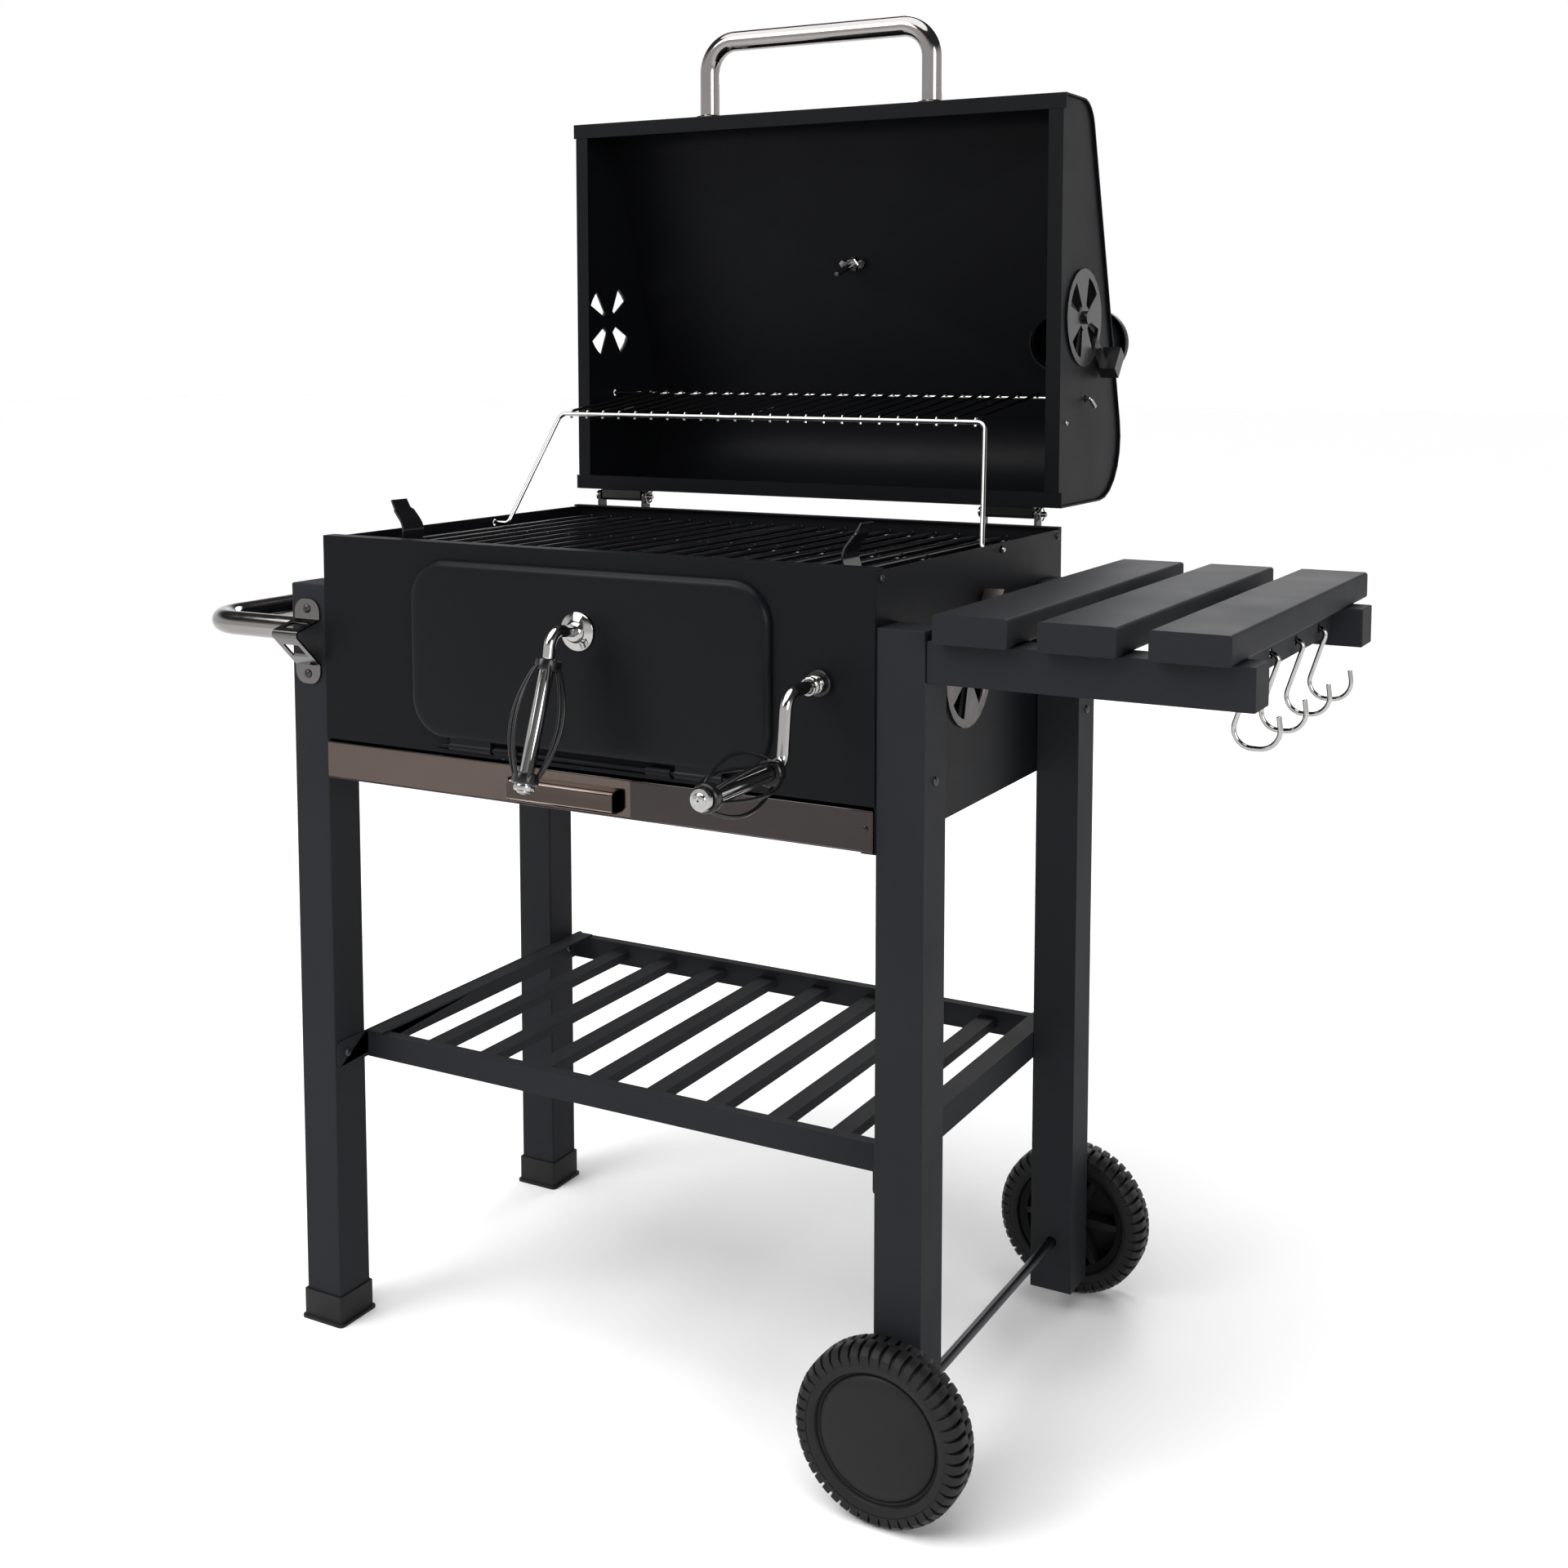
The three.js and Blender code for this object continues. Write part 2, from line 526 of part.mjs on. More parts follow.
function addGrates() {
  const { bottom, rods, rod: thick, bar } = GRATE;
  const y0 = GRATE.front;
  const y1 = BODY.depth - GRATE.rear;
  const middle = BODY.width / 2;
  const half = middle - 2 - GRATE.outer;
  const halves = [['left', GRATE.outer, GRATE.outer], ['right', middle + 2, BODY.width - GRATE.outer]];
  for (const [side, x0, outer] of halves) {
    const barPlaces = [y0 + 2, (y0 + y1) / 2 - bar / 2, y1 - 2 - bar];
    const parts = barPlaces.map((y) => box(x0 + 1, x0 + half - 1, y, y + bar, bottom, bottom + bar));
    const pitch = (half - thick) / (rods - 1);
    for (let i = 0; i < rods; i += 1) {
      const x = x0 + i * pitch;
      parts.push(box(x, x + thick, y0, y1, bottom + bar - 1, bottom + bar - 1 + thick));
    }
    // The lifting tab is a bent plate welded on the second and third rods from the outer edge.
    const inward = side === 'left' ? 1 : -1;
    const foot = outer + inward * 30;
    const low = bottom + bar + thick - 2;
    const bend = { at: [foot + inward * 4, low + 18], radius: 20 };
    const tab = [[foot, low], bend, [foot - inward * 12, low + 44]];
    parts.push(prism('y', sheetOutline(tab, SHEET), 52, 84));
    piece(`cooking_grate_${side}`, join(...parts), grateEnamel);
  }
}

// ---------------------------------------------------------------- lid

const lidTopY = (z) => LID_PLANE_Y + LID_FRONT_HEIGHT + LID_SLOPE * (LID_HIGH - z);

/** The lid's side outline in (Y, Z) while it stands open, moved in from its outer face. */
function lidProfile(inset) {
  const low = LID_LOW + inset;
  const high = LID_HIGH - inset;
  const backSet = inset * Math.hypot(1, LID_SLOPE);
  return [
    { at: [LID_PLANE_Y, high] },
    { at: [lidTopY(high) - backSet, high], radius: 34 - inset },
    { at: [lidTopY(low) - backSet, low], radius: 66 - inset },
    { at: [LID_PLANE_Y, low] },
  ];
}

function addLid() {
  const flangeEnds = [LID_HIGH - LID_FLANGE, LID_LOW + LID_FLANGE].map((z) => [LID_PLANE_Y, z]);
  const bent = [flangeEnds[0], ...lidProfile(0), flangeEnds[1]];
  const shell = prism('x', sheetOutline(bent, -SHEET, 7), 0, BODY.width);
  const thermometerHole = aim(disc(8, -20, 20, 16), TOP_NORMAL, onTop(THERMOMETER, 0));
  const chimneyFoot = [CHIMNEY.x, lidTopY(CHIMNEY.z), CHIMNEY.z];
  const chimneyHole = aim(disc(CHIMNEY.radius - 4, -60, 60, 24), [0, 1, 0], chimneyFoot);
  piece('lid_shell', cut(shell, thermometerHole, chimneyHole), enamel);

  const inset = SHEET + GAP;
  for (const [side, outer, inward] of [['left', 0, 1], ['right', BODY.width, -1]]) {
    const sheetX = span(outer, inward, LID_INSET, LID_INSET + SHEET);
    const flangeX = span(outer, inward, LID_INSET, LID_INSET + LID_FLANGE);
    const through = span(outer, inward, -3, 9);
    const outline = lidProfile(inset);
    outline[0].at[0] += GAP + SHEET;
    outline[3].at[0] += GAP + SHEET;
    const panel = prism('x', shapeOf(rounded(outline, true, 7)), ...sheetX);
    const low = LID_LOW + LID_FLANGE + GAP;
    const high = LID_HIGH - LID_FLANGE - GAP;
    const flange = box(...flangeX, LID_PLANE_Y, LID_PLANE_Y + SHEET, low, high);
    const web = box(...sheetX, LID_PLANE_Y, LID_PLANE_Y + 6, low, high);
    const windows = ventWindows(LID_VENT, ...through, 0);
    const pivot = prism('x', regular(HINGE.y + LINK.y, HINGE.z + LINK.z, 4, 12), ...through);
    piece(`lid_panel_${side}`, cut(join(panel, flange, web), pivot, ...windows), enamel);
  }
}

/** A place that stands a distance above the lid's top panel. */
function onTop({ x, z }, height) {
  const scale = height / Math.hypot(1, LID_SLOPE);
  return [x, lidTopY(z) + scale, z + LID_SLOPE * scale];
}

function addLidHandle() {
  const y = LID_PLANE_Y + 34;
  const low = LID_HIGH + GAP;
  const high = LID_HIGH + 86;
  const [x0, x1] = [166, 444];
  const bends = [x0, x1].map((x) => ({ at: [x, y, high], radius: 34 }));
  const tube = rod([[x0, y, low], ...bends, [x1, y, low]], 11, 10, 5, 9.5);
  const flange = turned([[0, 9.6], [0, 17], [4, 14], [4, 9.6], [0, 9.6]], 20);
  const flanges = [x0, x1].map((x) => aim(flange.clone(), [0, 0, 1], [x, y, low]));
  piece('lid_handle', join(tube, ...flanges), chrome);
}

function addThermometer() {
  const r = THERMOMETER.radius;
  const caseProfile = [[0, 0], [0, r], [10, r], [10, r - 3], [4, r - 3], [4, 0]];
  const body = aim(turned(caseProfile, 20), TOP_NORMAL, onTop(THERMOMETER, GAP));
  const stem = aim(disc(3.5, -50, 2, 10), TOP_NORMAL, onTop(THERMOMETER, GAP));
  const nut = aim(disc(9, -7, -3, 6), TOP_NORMAL, onTop(THERMOMETER, GAP));
  piece('thermometer', join(body, stem, nut), chrome);
  const needle = join(box(-1, 1, 0.6, 1.6, -6, 22), disc(3, 0.4, 2.6, 12));
  piece('thermometer_needle', aim(needle, TOP_NORMAL, onTop(THERMOMETER, 4 + GAP)), plastic);
}

function addChimney() {
  const { x, z, radius, length } = CHIMNEY;
  const start = lidTopY(z);
  const tube = aim(ring(radius - 2, radius, -16, length, 20), [0, 1, 0], [x, start, z]);
  const base = aim(ring(radius - 2, radius + 12, 0, 2, 20), TOP_NORMAL, onTop(CHIMNEY, GAP));
  const lidSpace = aim(box(-60, 60, -60, 0, -60, 60), TOP_NORMAL, onTop(CHIMNEY, GAP));
  piece('chimney', join(cut(tube, lidSpace), base), enamel);
  const cup = [[0, 0], [0, radius - 6], [8, radius + 6], [24, radius + 8], [24, radius + 6], [9, radius + 4],
    [2, radius - 8], [2, 0]];
  const end = start + length + 9 + GAP;
  const cap = aim(turned(cup, 20), [0, -1, 0], [x, end, z]);
  const holes = [0, 1, 2].map((i) => {
    const angle = (i * 2 * Math.PI) / 3;
    return aim(disc(6, -3, 5, 12), [0, -1, 0], [x + 14 * Math.cos(angle), end, z + 14 * Math.sin(angle)]);
  });
  piece('chimney_cap', cut(cap, ...holes), enamel);
}

// ---------------------------------------------------------------- hinges

function addHinges() {
  const { y, z } = HINGE;
  const rearFace = BODY.depth + GAP;
  HINGE.x.forEach((x, i) => {
    const side = i === 0 ? 'left' : 'right';
    const bore = aim(disc(3.3, 0, 120, 12), [1, 0, 0], [x - 60, y, z]);
    const base = box(x - 36, x + 36, rearFace, rearFace + 2, z - 46, z - 16);
    const cheekOutline = rounded(
      [[rearFace, z - 44], { at: [y + 7, z - 26], radius: 10 }, { at: [y + 7, z + 7], radius: 6.5 },
        { at: [y - 7, z + 7], radius: 6.5 }, [y - 7, z - 4], [rearFace, z - 6]], true, 3);
    const cheeks = [x - 32, x + 29].map((at) => prism('x', shapeOf(cheekOutline), at, at + 3));
    piece(`body_hinge_${side}`, cut(join(base, ...cheeks), bore), castEnamel);

    const blockOutline = rounded(
      [[y - 6, LID_LOW - GAP], { at: [y - 6, z - 5], radius: 3 }, { at: [y + 6, z - 5], radius: 3 },
        [y + 26, LID_LOW - GAP]], true, 3);
    const block = prism('x', shapeOf(blockOutline), x - 27, x + 27);
    piece(`lid_hinge_${side}`, cut(block, bore), castEnamel);

    const pin = turned([[0, 0], [0, 6], [3, 6], [3, 3], [76, 3], [76, 0]], 14);
    piece(`hinge_pin_${side}`, aim(pin, [1, 0, 0], [x - 36, y, z]), stainless);
  });
}

// ---------------------------------------------------------------- warming rack and its bail

function addRack() {
  const front = { y: BAIL_PIVOT.y + LINK.y, z: BAIL_PIVOT.z + LINK.z };
  const rear = { y: HINGE.y + LINK.y, z: HINGE.z + LINK.z };
  const { left, right, wires, wire } = RACK;
  const parts = [
    rod([[-6, rear.y, rear.z], [BODY.width + 6, rear.y, rear.z]], 2.5, 4),
    rod([[left, front.y + 9, front.z], [right, front.y + 9, front.z]], 2.5, 4),
  ];
  const pitch = (right - left - 8) / (wires - 1);
  const run = Math.hypot(rear.y - front.y - 9, rear.z - front.z);
  const slope = Math.atan2(rear.z - front.z, rear.y - front.y - 9);
  for (let i = 0; i < wires; i += 1) {
    const bar = box(-wire / 2, wire / 2, -4, run + 6, 1.2, 1.2 + wire);
    bar.applyMatrix4(new THREE.Matrix4().makeRotationX(slope));
    parts.push(bar.translate(left + 4 + i * pitch, front.y + 9, front.z));
  }
  piece('warming_rack', join(...parts), chrome);

  const foot = BAIL_PIVOT;
  const bailPath = [
    [-4, foot.y, foot.z],
    { at: [20, foot.y, foot.z], radius: 6 },
    { at: [left - 8, front.y, front.z], radius: 10 },
    { at: [right + 8, front.y, front.z], radius: 10 },
    { at: [BODY.width - 20, foot.y, foot.z], radius: 6 },
    [BODY.width + 4, foot.y, foot.z],
  ];
  piece('rack_bail', rod(bailPath, 2.5, 8), chrome);
}

// ---------------------------------------------------------------- side table, hook rail and hooks

function addTable() {
  const { top, slatThick, slatWidth, pitch, firstX, frontY, backY } = TABLE;
  const x0 = LEG_X.right + LEG.side + GAP;
  for (const [end, y] of [['front', LEG.frontY + 2], ['back', LEG.backY + 2]]) {
    const low = BEAM.top - BEAM.height;
    const w = BEAM.wall;
    const outer = box(x0, BEAM.endX, y, y + BEAM.side, low, BEAM.top);
    const inner = box(x0 - 1, BEAM.endX - w, y + w, y + BEAM.side - w, low + w, BEAM.top - w);
    piece(`table_beam_${end}`, cut(outer, inner), frame);
  }
  for (let i = 0; i < 3; i += 1) {
    const x = firstX + i * pitch;
    const slat = prism('y', rectangle(x, x + slatWidth, top - slatThick, top, 3), frontY, backY);
    const hollow = box(x + 2, x + slatWidth - 2, frontY + 2, backY - 2, top - slatThick - 1, top - 2);
    piece(`table_slat_${i + 1}`, cut(slat, hollow), frame);
  }
}

function addHooks() {
  const x = TABLE.firstX + 2 * TABLE.pitch + TABLE.slatWidth + GAP;
  const frontEnd = LEG.frontY + 2 + BEAM.side + GAP;
  const railX = x - 16;
  const railTop = TABLE.top - TABLE.slatThick - GAP;
  const railFace = rectangle(frontEnd, LEG.backY + 2 - GAP, RAIL.low, railTop, 1);
  const rail = prism('x', railFace, railX, railX + RAIL.thick);
  const holes = [];
  for (let i = 0; i < 4; i += 1) {
    const y = RAIL.firstY + i * RAIL.pitch;
    holes.push(prism('x', regular(y, RAIL.holeZ, 5, 10), railX - 1, railX + RAIL.thick + 1));
    const bend = RAIL.holeZ + 1;
    const middle = railX + RAIL.thick / 2;
    // Upper loop over the rail's hole, a straight shank and a wide lower loop in the plane of X and Z.
    const path = [
      [middle - 9, y, bend - 12],
      { at: [middle - 9, y, bend], radius: 5 },
      { at: [middle + 9, y, bend - 2], radius: 5 },
      { at: [middle - 12, y, bend - 66], radius: 14 },
      { at: [middle + 34, y, bend - 66], radius: 16 },
      [middle + 30, y, bend - 38],
    ];
    piece(`hook_${i + 1}`, rod(path, 2, 6, 4), chrome);
  }
  piece('hook_rail', cut(rail, ...holes), frame);
}

// ---------------------------------------------------------------- side handle and bottle opener

function addSideHandle() {
  const { x, z, radius, wall: thick, bend } = SIDE_HANDLE;
  const wall = LEG_X.left - GAP;
  const [y0, y1] = [LEG.frontY, LEG.backY].map((y) => y + LEG.side / 2);
  const bends = [y0, y1].map((y) => ({ at: [x, y, z], radius: bend }));
  const path = [[wall, y0, z], ...bends, [wall, y1, z]];
  piece('side_handle', rod(path, radius, 12, 6, radius - thick), chrome);
}

function addOpener() {
  const face = LEG.frontY - GAP;
  const middle = SIDE_HANDLE.z - 3;
  const [x0, x1] = [LEG_X.left + 6, LEG_X.left + 38];
  // A sheet that leaves the leg below its upper tab, folds over a nose and returns to its lower tab.
  const bent = [
    [face, middle + 39],
    { at: [face, middle + 17], radius: 2 },
    { at: [face - 36, middle + 8], radius: 3 },
    { at: [face, middle - 27], radius: 2 },
    [face, middle - 47],
  ];
  const slot = box(x0 + 6, x1 - 6, face - 26, face - 12, middle - 40, middle + 30);
  piece('bottle_opener', cut(prism('x', sheetOutline(bent, -SHEET), x0, x1), slot), stainless);
}

addLegs();
addFeet();
addWheels();
addShelf();
addBody();
addDampers();
addDoor();
addDoorHandle();
addDrawer();
addCrank();
addTray();
addGrates();
addLid();
addLidHandle();
addThermometer();
addChimney();
addHinges();
addRack();
addTable();
addHooks();
addSideHandle();
addOpener();

// The object's own frame has its origin on the floor, under the middle of everything.
const middle = new THREE.Box3().setFromObject(grill).getCenter(new THREE.Vector3());
grill.position.set(-middle.x, -middle.y, 0);

export default grill;
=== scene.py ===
"""The looks of a charcoal grill cart: bevelled sheet steel, round wires, chrome tubes and moulded wheels.

Lengths in this script are millimetres from the fire box's left front corner, with the floor at zero.
X runs along the front towards the side table, Y runs from the front to the back, Z is up.
"""
import json
import math

import bmesh
import bpy
from mathutils import Matrix, Vector


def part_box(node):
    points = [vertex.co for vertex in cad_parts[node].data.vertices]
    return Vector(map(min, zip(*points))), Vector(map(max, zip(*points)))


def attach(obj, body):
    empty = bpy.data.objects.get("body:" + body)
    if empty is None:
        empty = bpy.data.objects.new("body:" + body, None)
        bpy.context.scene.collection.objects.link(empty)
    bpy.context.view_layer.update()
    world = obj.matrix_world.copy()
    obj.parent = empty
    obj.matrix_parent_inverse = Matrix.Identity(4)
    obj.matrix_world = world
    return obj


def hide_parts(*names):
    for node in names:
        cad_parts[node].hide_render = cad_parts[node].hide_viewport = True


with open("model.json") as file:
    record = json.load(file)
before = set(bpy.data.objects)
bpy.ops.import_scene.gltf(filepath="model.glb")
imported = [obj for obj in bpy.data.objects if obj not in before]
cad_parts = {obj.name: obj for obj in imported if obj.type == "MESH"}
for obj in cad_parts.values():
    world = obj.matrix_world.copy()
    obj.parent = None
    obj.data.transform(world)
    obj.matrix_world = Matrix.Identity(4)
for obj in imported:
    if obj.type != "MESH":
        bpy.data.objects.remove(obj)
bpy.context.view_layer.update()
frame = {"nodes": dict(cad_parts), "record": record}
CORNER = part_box("body_front")[0]
MM = 0.001

BODY_WIDTH = 610
LEG_FACES = (-45.3, 655.3)  # the outer faces of the left and right legs
LEG_MIDDLES = (24.5, 397.5)  # the middles of the front and back legs, along Y
HINGE = (448, 832)  # the lid's axis, in Y and Z


def at(x, y, z):
    """A place in the shared frame, in metres."""
    return Vector((CORNER.x + x * MM, CORNER.y + y * MM, z * MM))


# ---------------------------------------------------------------- materials


def socket(shader, name, value):
    shader.inputs[name].default_value = value


class Finish:
    """One procedural material: noise drives its colour, roughness and bump."""

    def __init__(self, name, colour, roughness, metallic=0.0, specular=0.5):
        self.material = bpy.data.materials.new(name)
        self.material.use_nodes = True
        self.tree = self.material.node_tree
        self.shader = self.tree.nodes["Principled BSDF"]
        socket(self.shader, "Base Color", (*colour, 1))
        socket(self.shader, "Roughness", roughness)
        socket(self.shader, "Metallic", metallic)
        socket(self.shader, "Specular IOR Level", specular)
        self.colour = colour
        self.coords = self.tree.nodes.new("ShaderNodeTexCoord")

    def link(self, source, target):
        self.tree.links.new(source, target)

    def noise(self, scale, detail=4.0, stretch=(1, 1, 1), rough=0.5):
        mapping = self.tree.nodes.new("ShaderNodeMapping")
        mapping.inputs["Scale"].default_value = stretch
        self.link(self.coords.outputs["Object"], mapping.inputs["Vector"])
        noise = self.tree.nodes.new("ShaderNodeTexNoise")
        noise.inputs["Scale"].default_value = scale
        noise.inputs["Detail"].default_value = detail
        noise.inputs["Roughness"].default_value = rough
        self.link(mapping.outputs["Vector"], noise.inputs["Vector"])
        return noise.outputs["Fac"]

    def ramp(self, value, low, high, start=0.3, end=0.7):
        spread = self.tree.nodes.new("ShaderNodeMapRange")
        spread.inputs["From Min"].default_value = start
        spread.inputs["From Max"].default_value = end
        spread.inputs["To Min"].default_value = low
        spread.inputs["To Max"].default_value = high
        self.link(value, spread.inputs["Value"])
        return spread.outputs["Result"]

    def vary_roughness(self, value, low, high):
        self.link(self.ramp(value, low, high), self.shader.inputs["Roughness"])

    def vary_colour(self, value, other, amount):
        mix = self.tree.nodes.new("ShaderNodeMix")
        mix.data_type = "RGBA"
        mix.inputs["A"].default_value = (*self.colour, 1)
        mix.inputs["B"].default_value = (*other, 1)
        self.link(self.ramp(value, 0.0, amount), mix.inputs["Factor"])
        self.link(mix.outputs["Result"], self.shader.inputs["Base Color"])

    def bump(self, value, strength, distance=0.0005):
        node = self.tree.nodes.new("ShaderNodeBump")
        node.inputs["Strength"].default_value = strength
        node.inputs["Distance"].default_value = distance
        self.link(value, node.inputs["Height"])
        self.link(node.outputs["Normal"], self.shader.inputs["Normal"])


def painted(name, colour, dust, roughness, grain, strength, specular=0.2):
    """A paint or plastic. Broad patches lean towards the dust colour, and fine grain makes its bump."""
    finish = Finish(name, colour, sum(roughness) / 2, specular=specular)
    finish.vary_roughness(finish.noise(14, 6), *roughness)
    finish.vary_colour(finish.noise(5, 5), dust, 0.5)
    finish.bump(finish.noise(grain, 3), strength, 0.0003)
    return finish.material


def plated(name, colour, roughness, stretch, strength):
    """A bare or plated metal. Stretched noise gives it the direction of its polish."""
    finish = Finish(name, colour, roughness[0], metallic=1.0)
    finish.vary_roughness(finish.noise(60, 5, stretch), *roughness)
    finish.vary_colour(finish.noise(9, 4), tuple(0.8 * c for c in colour), 0.6)
    finish.bump(finish.noise(220, 3, stretch), strength, 0.0001)
    return finish.material


DOOR_PAINT = painted("coal_door_paint", (0.0036, 0.0039, 0.0050), dust=(0.0054, 0.0058, 0.0070),
                     roughness=(0.28, 0.36), grain=900, strength=0.08, specular=0.09)
SATIN = painted("satin_black_paint", (0.0036, 0.0039, 0.0050), dust=(0.0054, 0.0058, 0.0070),
                roughness=(0.41, 0.47), grain=900, strength=0.10, specular=0.07)
POWDER = painted("anthracite_powder_coat", (0.0120, 0.0126, 0.0150), dust=(0.0150, 0.0156, 0.0180),
                 roughness=(0.58, 0.64), grain=1300, strength=0.22, specular=0.09)
CAST = painted("glossy_black_enamel", (0.0045, 0.0046, 0.0052), dust=(0.0070, 0.0070, 0.0076),
               roughness=(0.16, 0.28), grain=300, strength=0.08, specular=0.35)
GRATE = painted("black_wire_enamel", (0.0060, 0.0062, 0.0070), dust=(0.010, 0.010, 0.012),
                roughness=(0.14, 0.24), grain=500, strength=0.08, specular=0.6)
RUBBER = painted("black_moulded_plastic", (0.0050, 0.0050, 0.0056), dust=(0.0085, 0.0085, 0.0090),
                 roughness=(0.42, 0.58), grain=800, strength=0.25)
NYLON = painted("smooth_black_plastic", (0.0048, 0.0048, 0.0054), dust=(0.0075, 0.0075, 0.0080),
                roughness=(0.30, 0.42), grain=420, strength=0.08)
DARK_STEEL = plated("dark_oiled_steel", (0.055, 0.056, 0.062),
                    roughness=(0.28, 0.44), stretch=(1, 0.2, 1), strength=0.10)
CHROME = plated("polished_chrome", (0.40, 0.395, 0.39),
                roughness=(0.05, 0.12), stretch=(1, 1, 1), strength=0.02)
# A darker copy of the chrome for the lid handle and the side handle: painted dark reflection.
TUBE_CHROME_DARK_REFLECTION = plated("tube_chrome_painted_dark_reflection", (0.27, 0.255, 0.245),
                     roughness=(0.06, 0.13), stretch=(1, 1, 1), strength=0.02)
OPENER_STEEL = plated("polished_opener_steel", (0.135, 0.128, 0.125),
                      roughness=(0.08, 0.15), stretch=(3, 3, 0.2), strength=0.05)
STAINLESS = plated("polished_stainless_steel", (0.30, 0.28, 0.27),
                   roughness=(0.13, 0.22), stretch=(0.15, 3, 3), strength=0.06)
# The ash drawer's stainless darkened to a brownish grey: painted dark reflection.
DRAWER_DARK_REFLECTION_STEEL = plated("drawer_steel_painted_dark_reflection", (0.092, 0.073, 0.064),
                   roughness=(0.07, 0.13), stretch=(0.15, 3, 3), strength=0.04)
# A still darker copy of the drawer steel for the overlapping sheet on the drawer front: painted dark
# reflection.
OVERLAP_DARK_REFLECTION_STEEL = plated("drawer_overlap_painted_dark_reflection", (0.040, 0.035, 0.034),
                    roughness=(0.08, 0.15), stretch=(0.15, 3, 3), strength=0.04)
DAMPER_STEEL = plated("bare_damper_steel", (0.075, 0.066, 0.062),
                      roughness=(0.24, 0.36), stretch=(1, 1, 1), strength=0.06)
# Bright metal for the grates' weld beads, and for the drawer's rivet and folded edges, where it is a painted
# highlight.
BRIGHT = plated("bright_weld_metal_and_painted_highlight", (0.70, 0.70, 0.72),
                roughness=(0.18, 0.30), stretch=(1, 1, 1), strength=0.20)
DIAL = painted("dial_face", (0.72, 0.71, 0.67), dust=(0.66, 0.65, 0.60),
               roughness=(0.30, 0.40), grain=500, strength=0.03)
DIAL_INK = painted("dial_ink", (0.020, 0.020, 0.020), dust=(0.025, 0.025, 0.025),
                   roughness=(0.40, 0.50), grain=500, strength=0.03)
DIAL_RED = painted("dial_hot_zone", (0.42, 0.035, 0.020), dust=(0.36, 0.03, 0.02),
                   roughness=(0.40, 0.50), grain=500, strength=0.03)
# Near-black for the cross recesses of the screws and the holes in the chimney cap: painted shade.
RECESS_SHADE = painted("screw_recess_painted_shade", (0.010, 0.010, 0.010), dust=(0.015, 0.015, 0.015),
                 roughness=(0.50, 0.60), grain=500, strength=0.05)

# ---------------------------------------------------------------- mesh code


def turned_to(direction, place):
    """A matrix that stands local +Z along a direction, at a place in metres."""
    return Matrix.Translation(place) @ Vector(direction).to_track_quat("Z", "Y").to_matrix().to_4x4()


def rounded(corners, steps=8):
    """Replaces each inner corner (place, radius) by an arc. Places are in millimetres."""
    places = [Vector(c[0]) for c in corners]
    points = []
    for i, (_, radius) in enumerate(corners):
        if radius == 0 or i in (0, len(corners) - 1):
            points.append(places[i])
            continue
        back = (places[i - 1] - places[i]).normalized()
        ahead = (places[i + 1] - places[i]).normalized()
        half = back.angle(ahead) / 2
        middle = (back + ahead).normalized()
        across = (ahead - back).normalized()
        centre = places[i] + middle * (radius / math.sin(half))
        sweep = math.pi / 2 - half
        for k in range(steps + 1):
            angle = sweep * (2 * k / steps - 1)
            points.append(centre - middle * (radius * math.cos(angle)) + across * (radius * math.sin(angle)))
    return points


